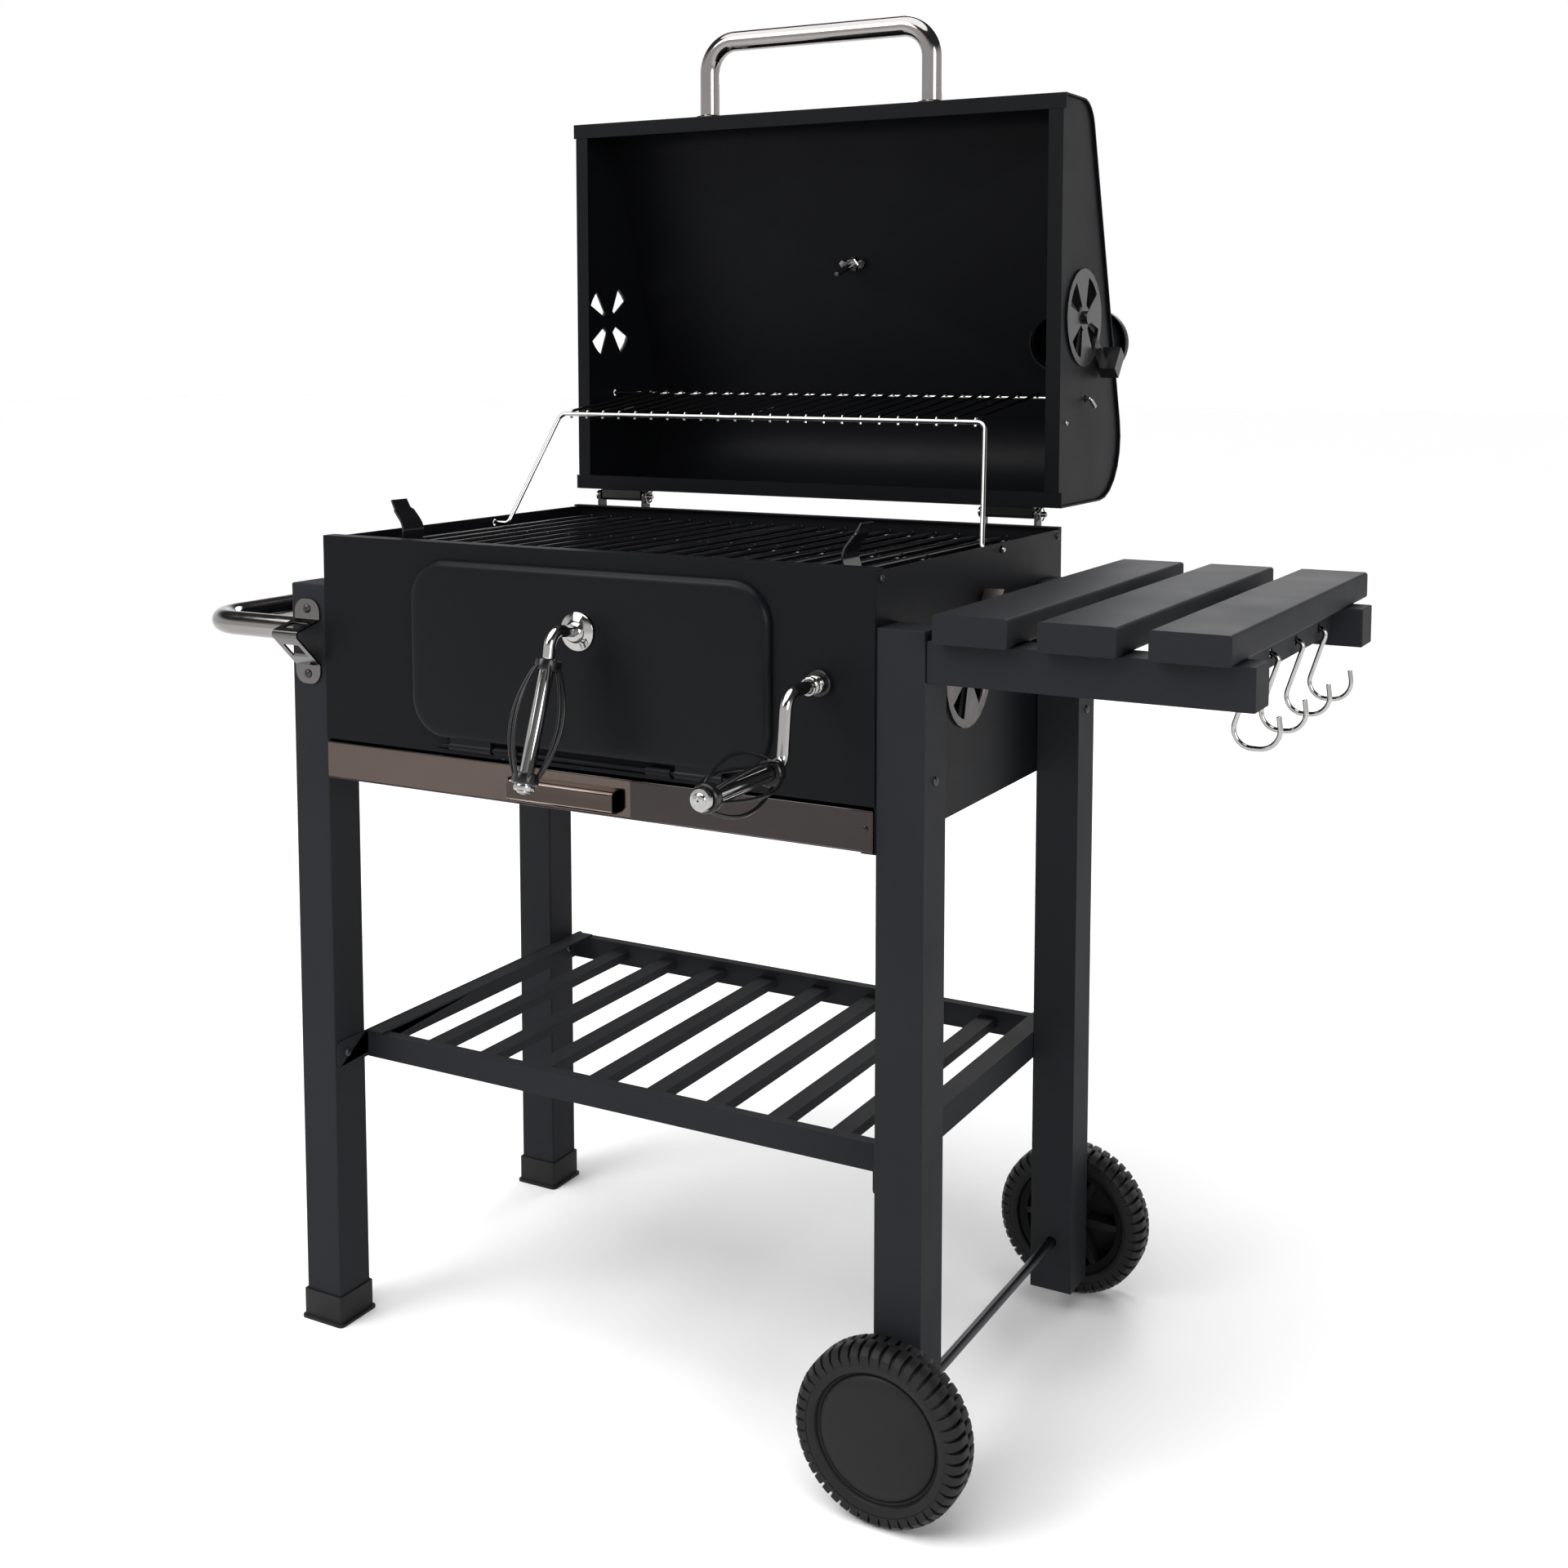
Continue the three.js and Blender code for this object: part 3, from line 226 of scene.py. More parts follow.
class Shape:
    """Collects parts of one piece. Local lengths are millimetres, and a matrix puts them in place."""

    def __init__(self):
        self.bm = bmesh.new()

    def add(self, rings, material=0, closed=False, cap=True, turn=None):
        """Joins rings of equal length into a skin, and closes its ends."""
        turn = turn or Matrix.Identity(4)
        made = [[self.bm.verts.new(turn @ Vector(p)) for p in ring] for ring in rings]
        count = len(rings[0])
        pairs = list(zip(made, made[1:]))
        if closed:
            pairs.append((made[-1], made[0]))
        for first, second in pairs:
            for i in range(count):
                j = (i + 1) % count
                face = self.bm.faces.new((first[i], first[j], second[j], second[i]))
                face.material_index = material
        if cap and not closed:
            for ring in (made[0][::-1], made[-1]):
                self.bm.faces.new(ring).material_index = material

    def lathe(self, profile, turn, sides=48, material=0, closed=False):
        """Turns (radius, height) pairs in millimetres around local Z."""
        rings = []
        for radius, height in profile:
            r = max(radius, 0.01)
            angles = [2 * math.pi * i / sides for i in range(sides)]
            rings.append([(r * MM * math.cos(a), r * MM * math.sin(a), height * MM) for a in angles])
        self.add(rings, material, closed, True, turn)

    def tube(self, points, radius, sides=16, material=0, radii=None, round_ends=0.0, loop=False):
        """A round bar through points in millimetres from the fire box's corner."""
        places = [at(*p) for p in points]
        sizes = list(radii) if radii else [radius] * len(places)
        if round_ends > 0:
            first = (places[1] - places[0]).normalized()
            last = (places[-1] - places[-2]).normalized()
            places = [places[0], places[0] + first * round_ends * MM, *places[1:-1],
                      places[-1] - last * round_ends * MM, places[-1]]
            sizes = [sizes[0] - round_ends, sizes[0], *sizes[1:-1], sizes[-1], sizes[-1] - round_ends]
        rings = []
        tangents = []
        count = len(places)
        for i in range(count):
            before = places[i] - places[i - 1] if i or loop else places[1] - places[0]
            after = places[(i + 1) % count] - places[i] if i < count - 1 or loop else before
            tangents.append((before.normalized() + after.normalized()).normalized())
        seed = Vector((0, 0, 1)) if abs(tangents[0].z) < 0.9 else Vector((1, 0, 0))
        normal = tangents[0].cross(seed).normalized()
        for i, tangent in enumerate(tangents):
            if i:
                normal = tangents[i - 1].rotation_difference(tangent) @ normal
            side = tangent.cross(normal)
            ring = []
            for k in range(sides):
                angle = 2 * math.pi * k / sides
                ring.append(places[i] + (normal * math.cos(angle) + side * math.sin(angle)) * sizes[i] * MM)
            rings.append(ring)
        self.add(rings, material, loop, not loop)

    def plate(self, outline, low, high, turn, material=0, edge=0.4):
        """A flat outline in local X and Y, in millimetres, with softened edges, from low to high along Z."""
        centre = Vector((sum(p[0] for p in outline), sum(p[1] for p in outline))) / len(outline)

        def ring(inset, height):
            found = []
            for p in outline:
                v = Vector((p[0], p[1])) - centre
                v = v * max(1 - inset / max(v.length, 0.01), 0.2) + centre
                found.append((v.x * MM, v.y * MM, height * MM))
            return found

        self.add([ring(edge, low), ring(0, low + edge), ring(0, high - edge), ring(edge, high)],
                 material, turn=turn)

    def screw(self, place, direction, radius=4.5, material=0, recess=1):
        """A dome head with a cross recess, drawn as two raised near-black bars: painted shade. Its base lies
        at the place.
        """
        turn = turned_to(direction, at(*place))
        r = radius
        dome = [(r, 0), (r, 0.5), (0.92 * r, 1.2), (0.7 * r, 1.9), (0.35 * r, 2.3), (0, 2.4)]
        self.lathe(dome, turn, 24, material)
        for angle in (0.3, 0.3 + math.pi / 2):
            spin = turn @ Matrix.Rotation(angle, 4, "Z")
            long, wide = 0.52 * r, 0.13 * r
            bar = [(-long, -wide), (long, -wide), (long, wide), (-long, wide)]
            self.plate(bar, 1.6, 2.45, spin, recess, 0.05)

    def finish(self, name, body, materials, slot=None, replaces=(), sharp=35, bevel=0.0):
        bmesh.ops.recalc_face_normals(self.bm, faces=self.bm.faces)
        mesh = bpy.data.meshes.new(name)
        self.bm.to_mesh(mesh)
        self.bm.free()
        return put(name, mesh, body, materials, replaces, sharp, bevel)


def put(name, mesh, body, materials, replaces, sharp, bevel):
    mesh.materials.clear()
    for material in materials:
        mesh.materials.append(material)
    mesh.shade_smooth()
    mesh.set_sharp_from_angle(angle=math.radians(sharp))
    piece = bpy.data.objects.new(name, mesh)
    bpy.context.scene.collection.objects.link(piece)
    if bevel > 0:
        soft = piece.modifiers.new("bevel", "BEVEL")
        soft.width = bevel * MM
        soft.segments = 3
        soft.limit_method = "ANGLE"
        soft.angle_limit = math.radians(38)
        soft.harden_normals = True
    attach(piece, body)
    if replaces:
        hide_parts(*replaces)
    return piece


BODY_OF = {}
for body_name, members in frame["record"]["behaviour"]["bodies"].items():
    for member in members:
        BODY_OF[member] = body_name


def round_tabs(bm, radius):
    """Rounds the sheet corners at the upper and the lower end of a bent plate."""
    heights = [v.co.z for v in bm.verts]
    ends = (min(heights), max(heights))
    corners = []
    for edge in bm.edges:
        first, second = (v.co for v in edge.verts)
        across = abs(first.x - second.x) + abs(first.z - second.z)
        if across < 1e-5 and min(abs(first.z - end) for end in ends) < 1e-5:
            corners.append(edge)
    bmesh.ops.bevel(bm, geom=corners, offset=radius * MM, segments=8, profile=0.5, affect="EDGES")


def softened(node, material, bevel, tab_radius=0.0):
    """A copy of a CAD node with its flat faces merged and its edges rounded."""
    bm = bmesh.new()
    bm.from_mesh(frame["nodes"][node].data)
    bmesh.ops.remove_doubles(bm, verts=bm.verts, dist=1e-6)
    bmesh.ops.dissolve_limit(bm, angle_limit=math.radians(0.5), verts=bm.verts, edges=bm.edges)
    if tab_radius > 0:
        round_tabs(bm, tab_radius)
    mesh = bpy.data.meshes.new(node + "_skin")
    bm.to_mesh(mesh)
    bm.free()
    put(node + "_skin", mesh, BODY_OF[node], [material], [node], 33, bevel)


# ---------------------------------------------------------------- sheet steel from the frame

for end in ("front", "back"):
    for side in ("left", "right"):
        softened(f"leg_{end}_{side}", POWDER, 2.2)
    softened(f"foot_cap_{end}", RUBBER, 0.9)
    softened(f"table_beam_{end}", POWDER, 1.6)
for side in ("left", "right"):
    softened(f"shelf_rail_{side}", POWDER, 0.5)
    softened(f"body_{side}", SATIN, 0.5)
    softened(f"body_damper_{side}", DAMPER_STEEL, 0.5)
    softened(f"lid_damper_{side}", CAST, 0.5)
    softened(f"body_hinge_{side}", CAST, 0.5)
    softened(f"lid_hinge_{side}", CAST, 1.2)
    softened(f"lid_panel_{side}", SATIN, 0.5)
for number in (1, 2, 3):
    softened(f"table_slat_{number}", POWDER, 1.0)
for wall in ("front", "rear"):
    softened(f"body_{wall}", SATIN, 0.7)
softened("shelf_grid", POWDER, 1.2)
softened("hook_rail", POWDER, 0.4)
softened("charcoal_tray", POWDER, 0.5)
softened("door_hinge", SATIN, 0.4)
softened("ash_drawer_pan", DRAWER_DARK_REFLECTION_STEEL, 0.4)
softened("ash_drawer_front", DRAWER_DARK_REFLECTION_STEEL, 0.4)
softened("bottle_opener", OPENER_STEEL, 0.5, 13)
softened("lid_shell", SATIN, 0.7)


# ---------------------------------------------------------------- coal door and handles

DOOR = {"left": 113, "right": 511, "low": 631, "high": 805, "corner": 40}
DOOR_AXIS = (-5, 626)
GRIP_LENGTH = 112
GRIP_WIRES = 6


def door_loop(inset, proud, steps=10):
    """One loop of the pressed door: a rounded rectangle in X and Z, standing proud of the box's face."""
    radius = DOOR["corner"] - inset
    left, right = DOOR["left"] + DOOR["corner"], DOOR["right"] - DOOR["corner"]
    low, high = DOOR["low"] + DOOR["corner"], DOOR["high"] - DOOR["corner"]
    points = []
    for cx, cz, start in ((right, high, 0), (left, high, 90), (left, low, 180), (right, low, 270)):
        for k in range(steps + 1):
            angle = math.radians(start + 90 * k / steps)
            points.append(at(cx + radius * math.cos(angle), -proud, cz + radius * math.sin(angle)))
    return points


def block(shape, low, high, material=0):
    """A box between two corners in millimetres. The piece's bevel rounds its edges."""
    (x0, y0, z0), (x1, y1, z1) = low, high
    shape.add([[at(x0, y0, z), at(x1, y0, z), at(x1, y1, z), at(x0, y1, z)] for z in (z0, z1)], material)


def add_coal_door():
    """A pressed plate with a rolled rim, hollow behind, and the two knuckles of its hinge."""
    door = Shape()
    hollow = [(14, 6.4), (12, 6.2), (11, 5.0), (10.6, 0.3)]
    pressed = [(0.0, 0.3), (0.0, 1.6), (0.5, 3.2), (1.6, 5.2), (3.2, 6.9), (5.2, 7.9), (7.6, 8.3), (12, 8.4)]
    door.add([door_loop(*step) for step in hollow + pressed])
    y, z = DOOR_AXIS
    for x0, x1 in ((160, 210), (414, 464)):
        door.tube([(x0, y, z), (x1, y, z)], 4, 20, round_ends=0.6)
        block(door, (x0 + 1, y - 2, z + 2), (x1 - 1, y + 2, DOOR["low"] + 6))
    door.finish("coal_door_pressing", "door", [DOOR_PAINT], "enamel_black", ["coal_door"], bevel=0.4)


def cage_grip(name, body, start, direction, replaces):
    """Two collars joined by bulging wires, from a start in millimetres along a direction."""
    axis = Vector(direction).normalized()
    side = axis.cross(Vector((1, 0, 0)) if abs(axis.x) < 0.9 else Vector((0, 1, 0))).normalized()
    other = axis.cross(side)
    start = Vector(start)
    grip = Shape()
    for offset in (0, GRIP_LENGTH - 10):
        turn = turned_to(axis, at(*(start + axis * offset)))
        profile = [(7.4, 0), (11, 0), (12, 1), (12.4, 5), (12, 9), (11, 10), (7.4, 10)]
        grip.lathe(profile, turn, 40, closed=True)
    for i in range(GRIP_WIRES):
        angle = 2 * math.pi * i / GRIP_WIRES + 0.26
        outward = side * math.cos(angle) + other * math.sin(angle)
        points = []
        for k in range(19):
            t = k / 18
            radius = 9.8 + 14.5 * math.sin(math.pi * t) ** 0.85
            points.append(start + axis * (4 + (GRIP_LENGTH - 8) * t) + outward * radius)
        grip.tube(points, 1.7, 12)
    return grip.finish(name, body, [CAST], "cast_black", replaces)


def grip_core(shape, start, direction):
    """The sleeve inside a cage grip and its domed end with a cross screw."""
    axis = Vector(direction).normalized()
    turn = turned_to(axis, at(*start))
    end = GRIP_LENGTH
    shape.lathe([(0, -1), (6.4, -1), (7, -0.2), (7, end + 0.5), (9.6, end + 1), (10, end + 3), (9, end + 5.5),
                 (6.5, end + 6.2), (0, end + 6.2)], turn, 40)
    shape.screw(Vector(start) + axis * (end + 6.2), axis, 6.2, 0, 1)


def add_door_handle():
    x, z, bend_y, grip_z, lean = 312, 748, -54, 728, 0.36
    down = Vector((0, -lean, -1)).normalized()
    start = Vector((x, bend_y, grip_z))
    handle = Shape()
    path = [((x, -9, z), 0), ((x, bend_y + 4, z + 6), 15), (start + down * 4, 0)]
    handle.tube(rounded(path, 12), 5.6, 28)
    rosette = [(0, 0), (17, 0), (18, 0.8), (18, 1.8), (17, 2.8), (13, 3.6), (10.5, 5),
               (9, 8.5), (8, 9.5), (0, 9.8)]
    handle.lathe(rosette, turned_to((0, -1, 0), at(x, -8.6, z)), 56)
    grip_core(handle, start, down)
    handle.finish("door_handle_bar", "door", [CHROME, RECESS_SHADE], "chrome", ["door_handle_rod"])
    cage_grip("door_handle_cage", "door", start, down, ["door_grip"])


def add_crank():
    """The cranked rod with its return spring, lifting lugs and cage grip, and the bush in the box's face."""
    x, z, arm_y, arm, grip_end = 558, 720, -60, 62, -190
    start = Vector((x - 2, grip_end + GRIP_LENGTH, z - arm))
    crank = Shape()
    path = [((x, 428, z), 0), ((x, arm_y, z), 16), ((x - 2, arm_y - 4, z - arm), 13),
            (start + Vector((0, 2, 0)), 0)]
    crank.tube(rounded(path, 10), 5.5, 28)
    spring = []
    turns = 5
    for k in range(turns * 16 + 1):
        angle = 2 * math.pi * k / 16
        spring.append((x + 6.9 * math.cos(angle), -7.5 - 3.1 * k / 16, z + 6.9 * math.sin(angle)))
    crank.tube(spring, 1.25, 8)
    for y in (70, 370):
        block(crank, (x - 3, y - 4, z), (x + 3, y + 4, z + 18))
    grip_core(crank, start, (0, -1, 0))
    crank.finish("crank_bar", "crank", [CHROME, RECESS_SHADE], "chrome", ["crank_rod"], bevel=0.3)
    cage_grip("crank_cage", "crank", start, (0, -1, 0), ["crank_grip"])
    bush = Shape()
    profile = [(6.2, -8), (8.5, -8), (8.5, 0.3), (11, 0.3), (12, 1), (12, 4.5), (11.2, 5.6),
               (7.5, 6), (6.2, 5.4)]
    bush.lathe(profile, turned_to((0, -1, 0), at(x, 0, z)), 48, closed=True)
    bush.finish("crank_bush_ring", "cart", [CAST], "cast_black", ["crank_bush"])


add_coal_door()
add_door_handle()
add_crank()

# ---------------------------------------------------------------- cooking grates


def dot(shape, place, radius, material):
    """A weld bead."""
    turn = turned_to((0, 0, 1), at(*place))
    r = radius
    bead = [(0, -r), (0.8 * r, -0.6 * r), (r, 0), (0.7 * r, 0.7 * r), (0, r)]
    shape.lathe(bead, turn, 8, material)


def strip(shape, path, thickness, low_y, high_y, material=0):
    """A bent sheet, swept along X and Z, between two Y values that may taper to a shorter pair."""
    rings = []
    for i, (x, z) in enumerate(path):
        before = path[max(i - 1, 0)]
        after = path[min(i + 1, len(path) - 1)]
        along = Vector((after[0] - before[0], after[1] - before[1])).normalized()
        side = Vector((-along.y, along.x)) * thickness
        t = i / (len(path) - 1)
        y0 = low_y[0] + (low_y[1] - low_y[0]) * t ** 2
        y1 = high_y[0] + (high_y[1] - high_y[0]) * t ** 2
        far_x, far_z = x + side.x, z + side.y
        rings.append([at(x, y0, z), at(x, y1, z), at(far_x, y1, far_z), at(far_x, y0, far_z)])
    shape.add(rings, material)


GRATE_RODS = 11
ROD_PITCH = 27.1


def add_grates():
    """Two halves of rods welded on three cross bars, each with a bent lifting tab near its outer edge."""
    y0, y1 = 18, 429
    bar_z, rod_z = 803.9, 808.3
    for side, x0, outer, inward in (("left", 26, 26, 1), ("right", 307, 584, -1)):
        grate = Shape()
        bars = (22.5, 223.5, 424.5)
        for y in bars:
            grate.tube([(x0 + 1, y, bar_z), (x0 + 276, y, bar_z)], 2.5, 14, round_ends=0.5)
        for i in range(GRATE_RODS):
            x = x0 + 3 + ROD_PITCH * i
            grate.tube([(x, y0, rod_z), (x, y1, rod_z)], 2.7, 16, round_ends=0.7)
            for y in bars:
                dot(grate, (x + 1.9, y - 1.0, rod_z + 0.7), 2.0, 1)
        low = 810
        foot = outer + inward * 30
        path = rounded([((foot, 0, low), 0), ((foot + inward * 5, 0, low + 17), 20),
                        ((foot - inward * 9, 0, low + 34), 14), ((foot - inward * 14, 0, low + 44), 0)], 8)
        strip(grate, [(p.x, p.z) for p in path], 2 * inward, (52, 55), (84, 78))
        name = f"cooking_grate_{side}"
        grate.finish(name + "_wires", f"grate_{side}", [GRATE, BRIGHT], "grate_enamel", [name], bevel=0.25)


add_grates()

# ---------------------------------------------------------------- warming rack

FRONT_WIRE = (351, 932)
REAR_WIRE = (514, 952)
RACK_WIRES = 24
BAIL_PIVOT = (276, 812)
BAIL_TOP = (342, 932)


def add_rack():
    """Wires from the lid's rear to the bail in front. Places above are in Y and Z."""
    rack = Shape()
    rear = [((-6, *REAR_WIRE), 0), ((613, *REAR_WIRE), 3), ((617, REAR_WIRE[0] + 4, REAR_WIRE[1] - 9), 0)]
    rack.tube(rounded(rear), 2.2, 14, round_ends=0.5)
    rack.tube([(54, *FRONT_WIRE), (556, *FRONT_WIRE)], 2.2, 14, round_ends=0.5)
    for i in range(RACK_WIRES):
        x = 58 + i * (494 / (RACK_WIRES - 1))
        fy, fz = FRONT_WIRE
        ry, rz = REAR_WIRE
        path = [((x, ry + 5, rz + 4.2), 0), ((x, fy - 5, fz + 3.2), 2.6), ((x, fy - 6, fz - 5), 0)]
        rack.tube(rounded(path, 4), 1.6, 10, round_ends=0.4)
    rack.finish("warming_rack_wires", "rack", [CHROME], "chrome", ["warming_rack"])

    bail = Shape()
    path = [((-4, *BAIL_PIVOT), 0), ((20, *BAIL_PIVOT), 6), ((46, *BAIL_TOP), 10),
            ((564, *BAIL_TOP), 10), ((590, *BAIL_PIVOT), 6), ((614, *BAIL_PIVOT), 0)]
    bail.tube(rounded(path, 8), 2.4, 16, round_ends=0.5)
    bail.finish("rack_bail_wire", "bail", [CHROME], "chrome", ["rack_bail"])


add_rack()

# ---------------------------------------------------------------- lid fittings

LID_HIGH = 1266
LID_SLOPE = 0.3
TOP_NORMAL = Vector((0, 1, LID_SLOPE)).normalized()


def on_top(x, z, height=0.0):
    """A place that stands a height above the lid's sloping top panel."""
    return Vector((x, 517 + LID_SLOPE * (LID_HIGH - z), z)) + TOP_NORMAL * height


def add_lid_handle():
    handle = Shape()
    low, high, y = LID_HIGH + 0.4, LID_HIGH + 86, 472
    path = [((166, y, low), 0), ((166, y, high), 34), ((444, y, high), 34), ((444, y, low), 0)]
    handle.tube(rounded(path, 16), 11, 36)
    for x in (166, 444):
        profile = [(11.2, 0), (16.2, 0), (17, 0.7), (17, 2.2), (15.5, 3.4), (12.5, 4), (11.2, 4.6)]
        handle.lathe(profile, turned_to((0, 0, 1), at(x, y, low)), 48, closed=True)
    handle.finish("lid_handle_tube", "lid", [TUBE_CHROME_DARK_REFLECTION], "chrome", ["lid_handle"])


def add_thermometer():
    turn = turned_to(TOP_NORMAL, at(*on_top(305, 1104, 0.3)))
    gauge = Shape()
    bezel = [(0, 0.2), (30, 0.2), (32, 1.5), (32, 8), (31.2, 9.6), (29.8, 10), (28.8, 9.2),
             (28.4, 4.1), (0, 4.1)]
    gauge.lathe(bezel, turn, 72)
    gauge.lathe([(0, 4.1), (28.3, 4.1), (28.3, 4.3), (0, 4.3)], turn, 72, 1)
    for i in range(28):
        angle = math.radians(-135 + i * 10)
        long = i % 3 == 0
        spin = turn @ Matrix.Rotation(angle, 4, "Z")
        inner, wide = (20, 0.5) if long else (22.5, 0.3)
        gauge.plate([(-wide, inner), (wide, inner), (wide, 25.5), (-wide, 25.5)], 4.2, 4.5, spin,
                    3 if i < 8 else 2, 0.02)
    gauge.lathe([(0, -49), (2.4, -49), (3.2, -47), (3.2, 2), (0, 2)], turn, 20)
    gauge.lathe([(0, -9.4), (7.8, -9.4), (8.6, -8.6), (8.6, -3.8), (7.8, -3), (0, -3)], turn, 6)
    for sign in (-1, 1):
        wing = [(sign * 5, -3), (sign * 13, -5), (sign * 17, 2), (sign * 13, 6), (sign * 5, 3)]
        gauge.plate(wing if sign > 0 else wing[::-1], -8, -3.4, turn, 0, 0.5)
    materials = [CHROME, DIAL, DIAL_INK, DIAL_RED]
    gauge.finish("thermometer_case", "lid", materials, "chrome", ["thermometer"], bevel=0.2)

    needle = Shape()
    pointer = [(-1.1, -6), (1.1, -6), (0.9, 8), (0.35, 22), (-0.35, 22), (-0.9, 8)]
    needle.plate(pointer, 5.2, 6.0, turn, 0, 0.1)
    needle.lathe([(0, 4.6), (3, 4.6), (3, 6.4), (2, 7), (0, 7)], turn, 24)
    needle.finish("thermometer_pointer", "needle", [DIAL_INK], "plastic_black", ["thermometer_needle"])


def add_chimney():
    x, z, radius = 545, 1012, 32
    start = 517 + LID_SLOPE * (LID_HIGH - z)
    pipe = Shape()
    turn = turned_to((0, 1, 0), at(x, start, z))
    profile = [(radius - 2, -6), (radius, -6), (radius, 128), (radius - 0.6, 130), (radius - 1.4, 130),
               (radius - 2, 128)]
    pipe.lathe(profile, turn, 64, closed=True)
    flange = [(radius - 0.5, 0), (radius + 11.5, 0), (radius + 12, 0.5), (radius + 12, 1.6),
              (radius + 11, 2.2), (radius + 3, 2.4), (radius, 5), (radius - 0.5, 5)]
    pipe.lathe(flange, turned_to(TOP_NORMAL, at(*on_top(x, z, 0.3))), 64, closed=True)
    for i in range(4):
        angle = math.radians(45 + 90 * i)
        local = turned_to(TOP_NORMAL, Vector((0, 0, 0))) @ Vector((math.cos(angle), math.sin(angle), 0))
        pipe.screw(on_top(x, z, 2.4) + local * (radius + 7), TOP_NORMAL, 3, 1, 2)
    pipe.finish("chimney_pipe", "lid", [SATIN, STAINLESS, RECESS_SHADE], "enamel_black", ["chimney"], bevel=0.2)

    cap = Shape()
    end = start + 139.3
    cup = [(0, 0), (24, 0), (26.5, 0.6), (29, 3), (36, 7), (38.5, 9), (39.6, 13), (40, 23.4),
           (39, 24), (38, 23.4), (37.4, 13), (36, 10.5), (27.5, 5.4), (24, 2), (0, 2)]
    cap.lathe(cup, turned_to((0, -1, 0), at(x, end, z)), 72)
    # The three holes are flat near-black discs on the cap: painted shade.
    for i in range(3):
        angle = math.radians(120 * i)
        hole = turned_to((0, 1, 0), at(x + 14 * math.cos(angle), end, z + 14 * math.sin(angle)))
        cap.lathe([(0, 0.06), (5.6, 0.06), (6.2, 0.02), (6.2, -0.2), (0, -0.2)], hole, 28, 1)
    cap.finish("chimney_cap_cup", "chimney_cap", [SATIN, RECESS_SHADE], "enamel_black", ["chimney_cap"])


add_lid_handle()
add_thermometer()
add_chimney()

# ---------------------------------------------------------------- wheels and axle

WHEEL_X = 632.8
WHEEL_RADIUS = 80
WHEEL_WIDTH = 38
LUGS = 46


def add_lugs(wheel, turn):
    """Two rows of lugs across the tread, half a pitch apart. Each tapers at its two sides."""
    w = WHEEL_WIDTH
    for side in (0, 1):
        for i in range(LUGS):
            angle = 2 * math.pi * (i + 0.5 * side) / LUGS
            spin = turn @ Matrix.Rotation(angle, 4, "Z")
            outline = [(74.5, w / 2 - 1), (79.6, w / 2 - 1), (80, w / 2), (79.6, w - 9), (78, w - 4.5),
                       (74, w - 0.4), (66.5, w - 0.3), (66.5, w - 3), (72, w - 6)]
            if side:
                outline = [(r, w - h) for r, h in outline[::-1]]
            rings = []
            for wide, shrink in ((-3.8, 0.6), (-3.2, 0), (3.2, 0), (3.8, 0.6)):
                rings.append([((r - shrink) * MM, wide * MM, h * MM) for r, h in outline])
            wheel.add(rings, turn=spin)


def add_wheel(end, place_y, outward):
    """A moulded wheel: a lugged tyre, a spoked inner side and a smooth hubcap outside."""
    wheel = Shape()
    turn = turned_to((0, -outward, 0), at(WHEEL_X, place_y, WHEEL_RADIUS))
    w = WHEEL_WIDTH
    tyre = [(57, 5), (59, 2), (63, 0.6), (68, 0.8), (72, 2.5), (75, 6), (76, 12), (76, w - 12), (75, w - 6),
            (72, w - 2.5), (68, w - 0.8), (63, w - 0.6), (59, w - 2), (57, w - 5)]
    wheel.lathe(tyre, turn, 92, closed=True)
    add_lugs(wheel, turn)
    rim = [(50, 9), (57.5, 5), (57.5, w - 5), (50, w - 9), (52, w - 14), (52, 12)]
    wheel.lathe(rim, turn, 72, closed=True)
    cap = [(0, 0.6), (20, 0.8), (44, 1.8), (52, 3.2), (54.5, 4.6), (55.5, 6.4), (55.5, 9), (53, 10), (0, 10)]
    wheel.lathe(cap, turn, 72, 1)
    wheel.lathe([(5.6, 9), (16, 9), (16, w + 3.2), (15.2, w + 4), (5.6, w + 4)], turn, 40, closed=True)
    for i in range(6):
        spin = turn @ Matrix.Rotation(math.pi / 3 * i, 4, "Z")
        spoke = [(14, -5), (53, -3), (53, 3), (14, 5)]
        wheel.plate(spoke, 9, w - 9, spin, 0, 0.8)
    node = f"wheel_{end}"
    wheel.finish(node + "_moulding", node, [RUBBER, NYLON], "plastic_black", [node])


add_wheel("front", -42, -1)
add_wheel("back", 464, 1)


def add_axle():
    axle = Shape()
    axle.tube([(WHEEL_X, -31.6, 80), (WHEEL_X, 453.6, 80)], 5, 28, round_ends=1.0)
    axle.finish("axle_bar", "cart", [DARK_STEEL], "frame_anthracite", ["axle"])


add_axle()

# ---------------------------------------------------------------- hooks and side handle


def add_hooks():
    """Four wire hooks in the rail's holes, each with a small upper loop and a wide lower one."""
    x, bend = 902.3, 751
    for i in range(4):
        y = 75 + 84 * i
        path = [((x - 9, y, bend - 12), 0), ((x - 9, y, bend), 6), ((x + 9, y, bend - 2), 6),
                ((x - 12, y, bend - 66), 15), ((x + 34, y, bend - 66), 17), ((x + 30, y, bend - 38), 0)]
        hook = Shape()
        hook.tube(rounded(path, 10), 2.2, 16, round_ends=0.6)
        hook.finish(f"hook_{i + 1}_wire", f"hook_{i + 1}", [CHROME], "chrome", [f"hook_{i + 1}"])


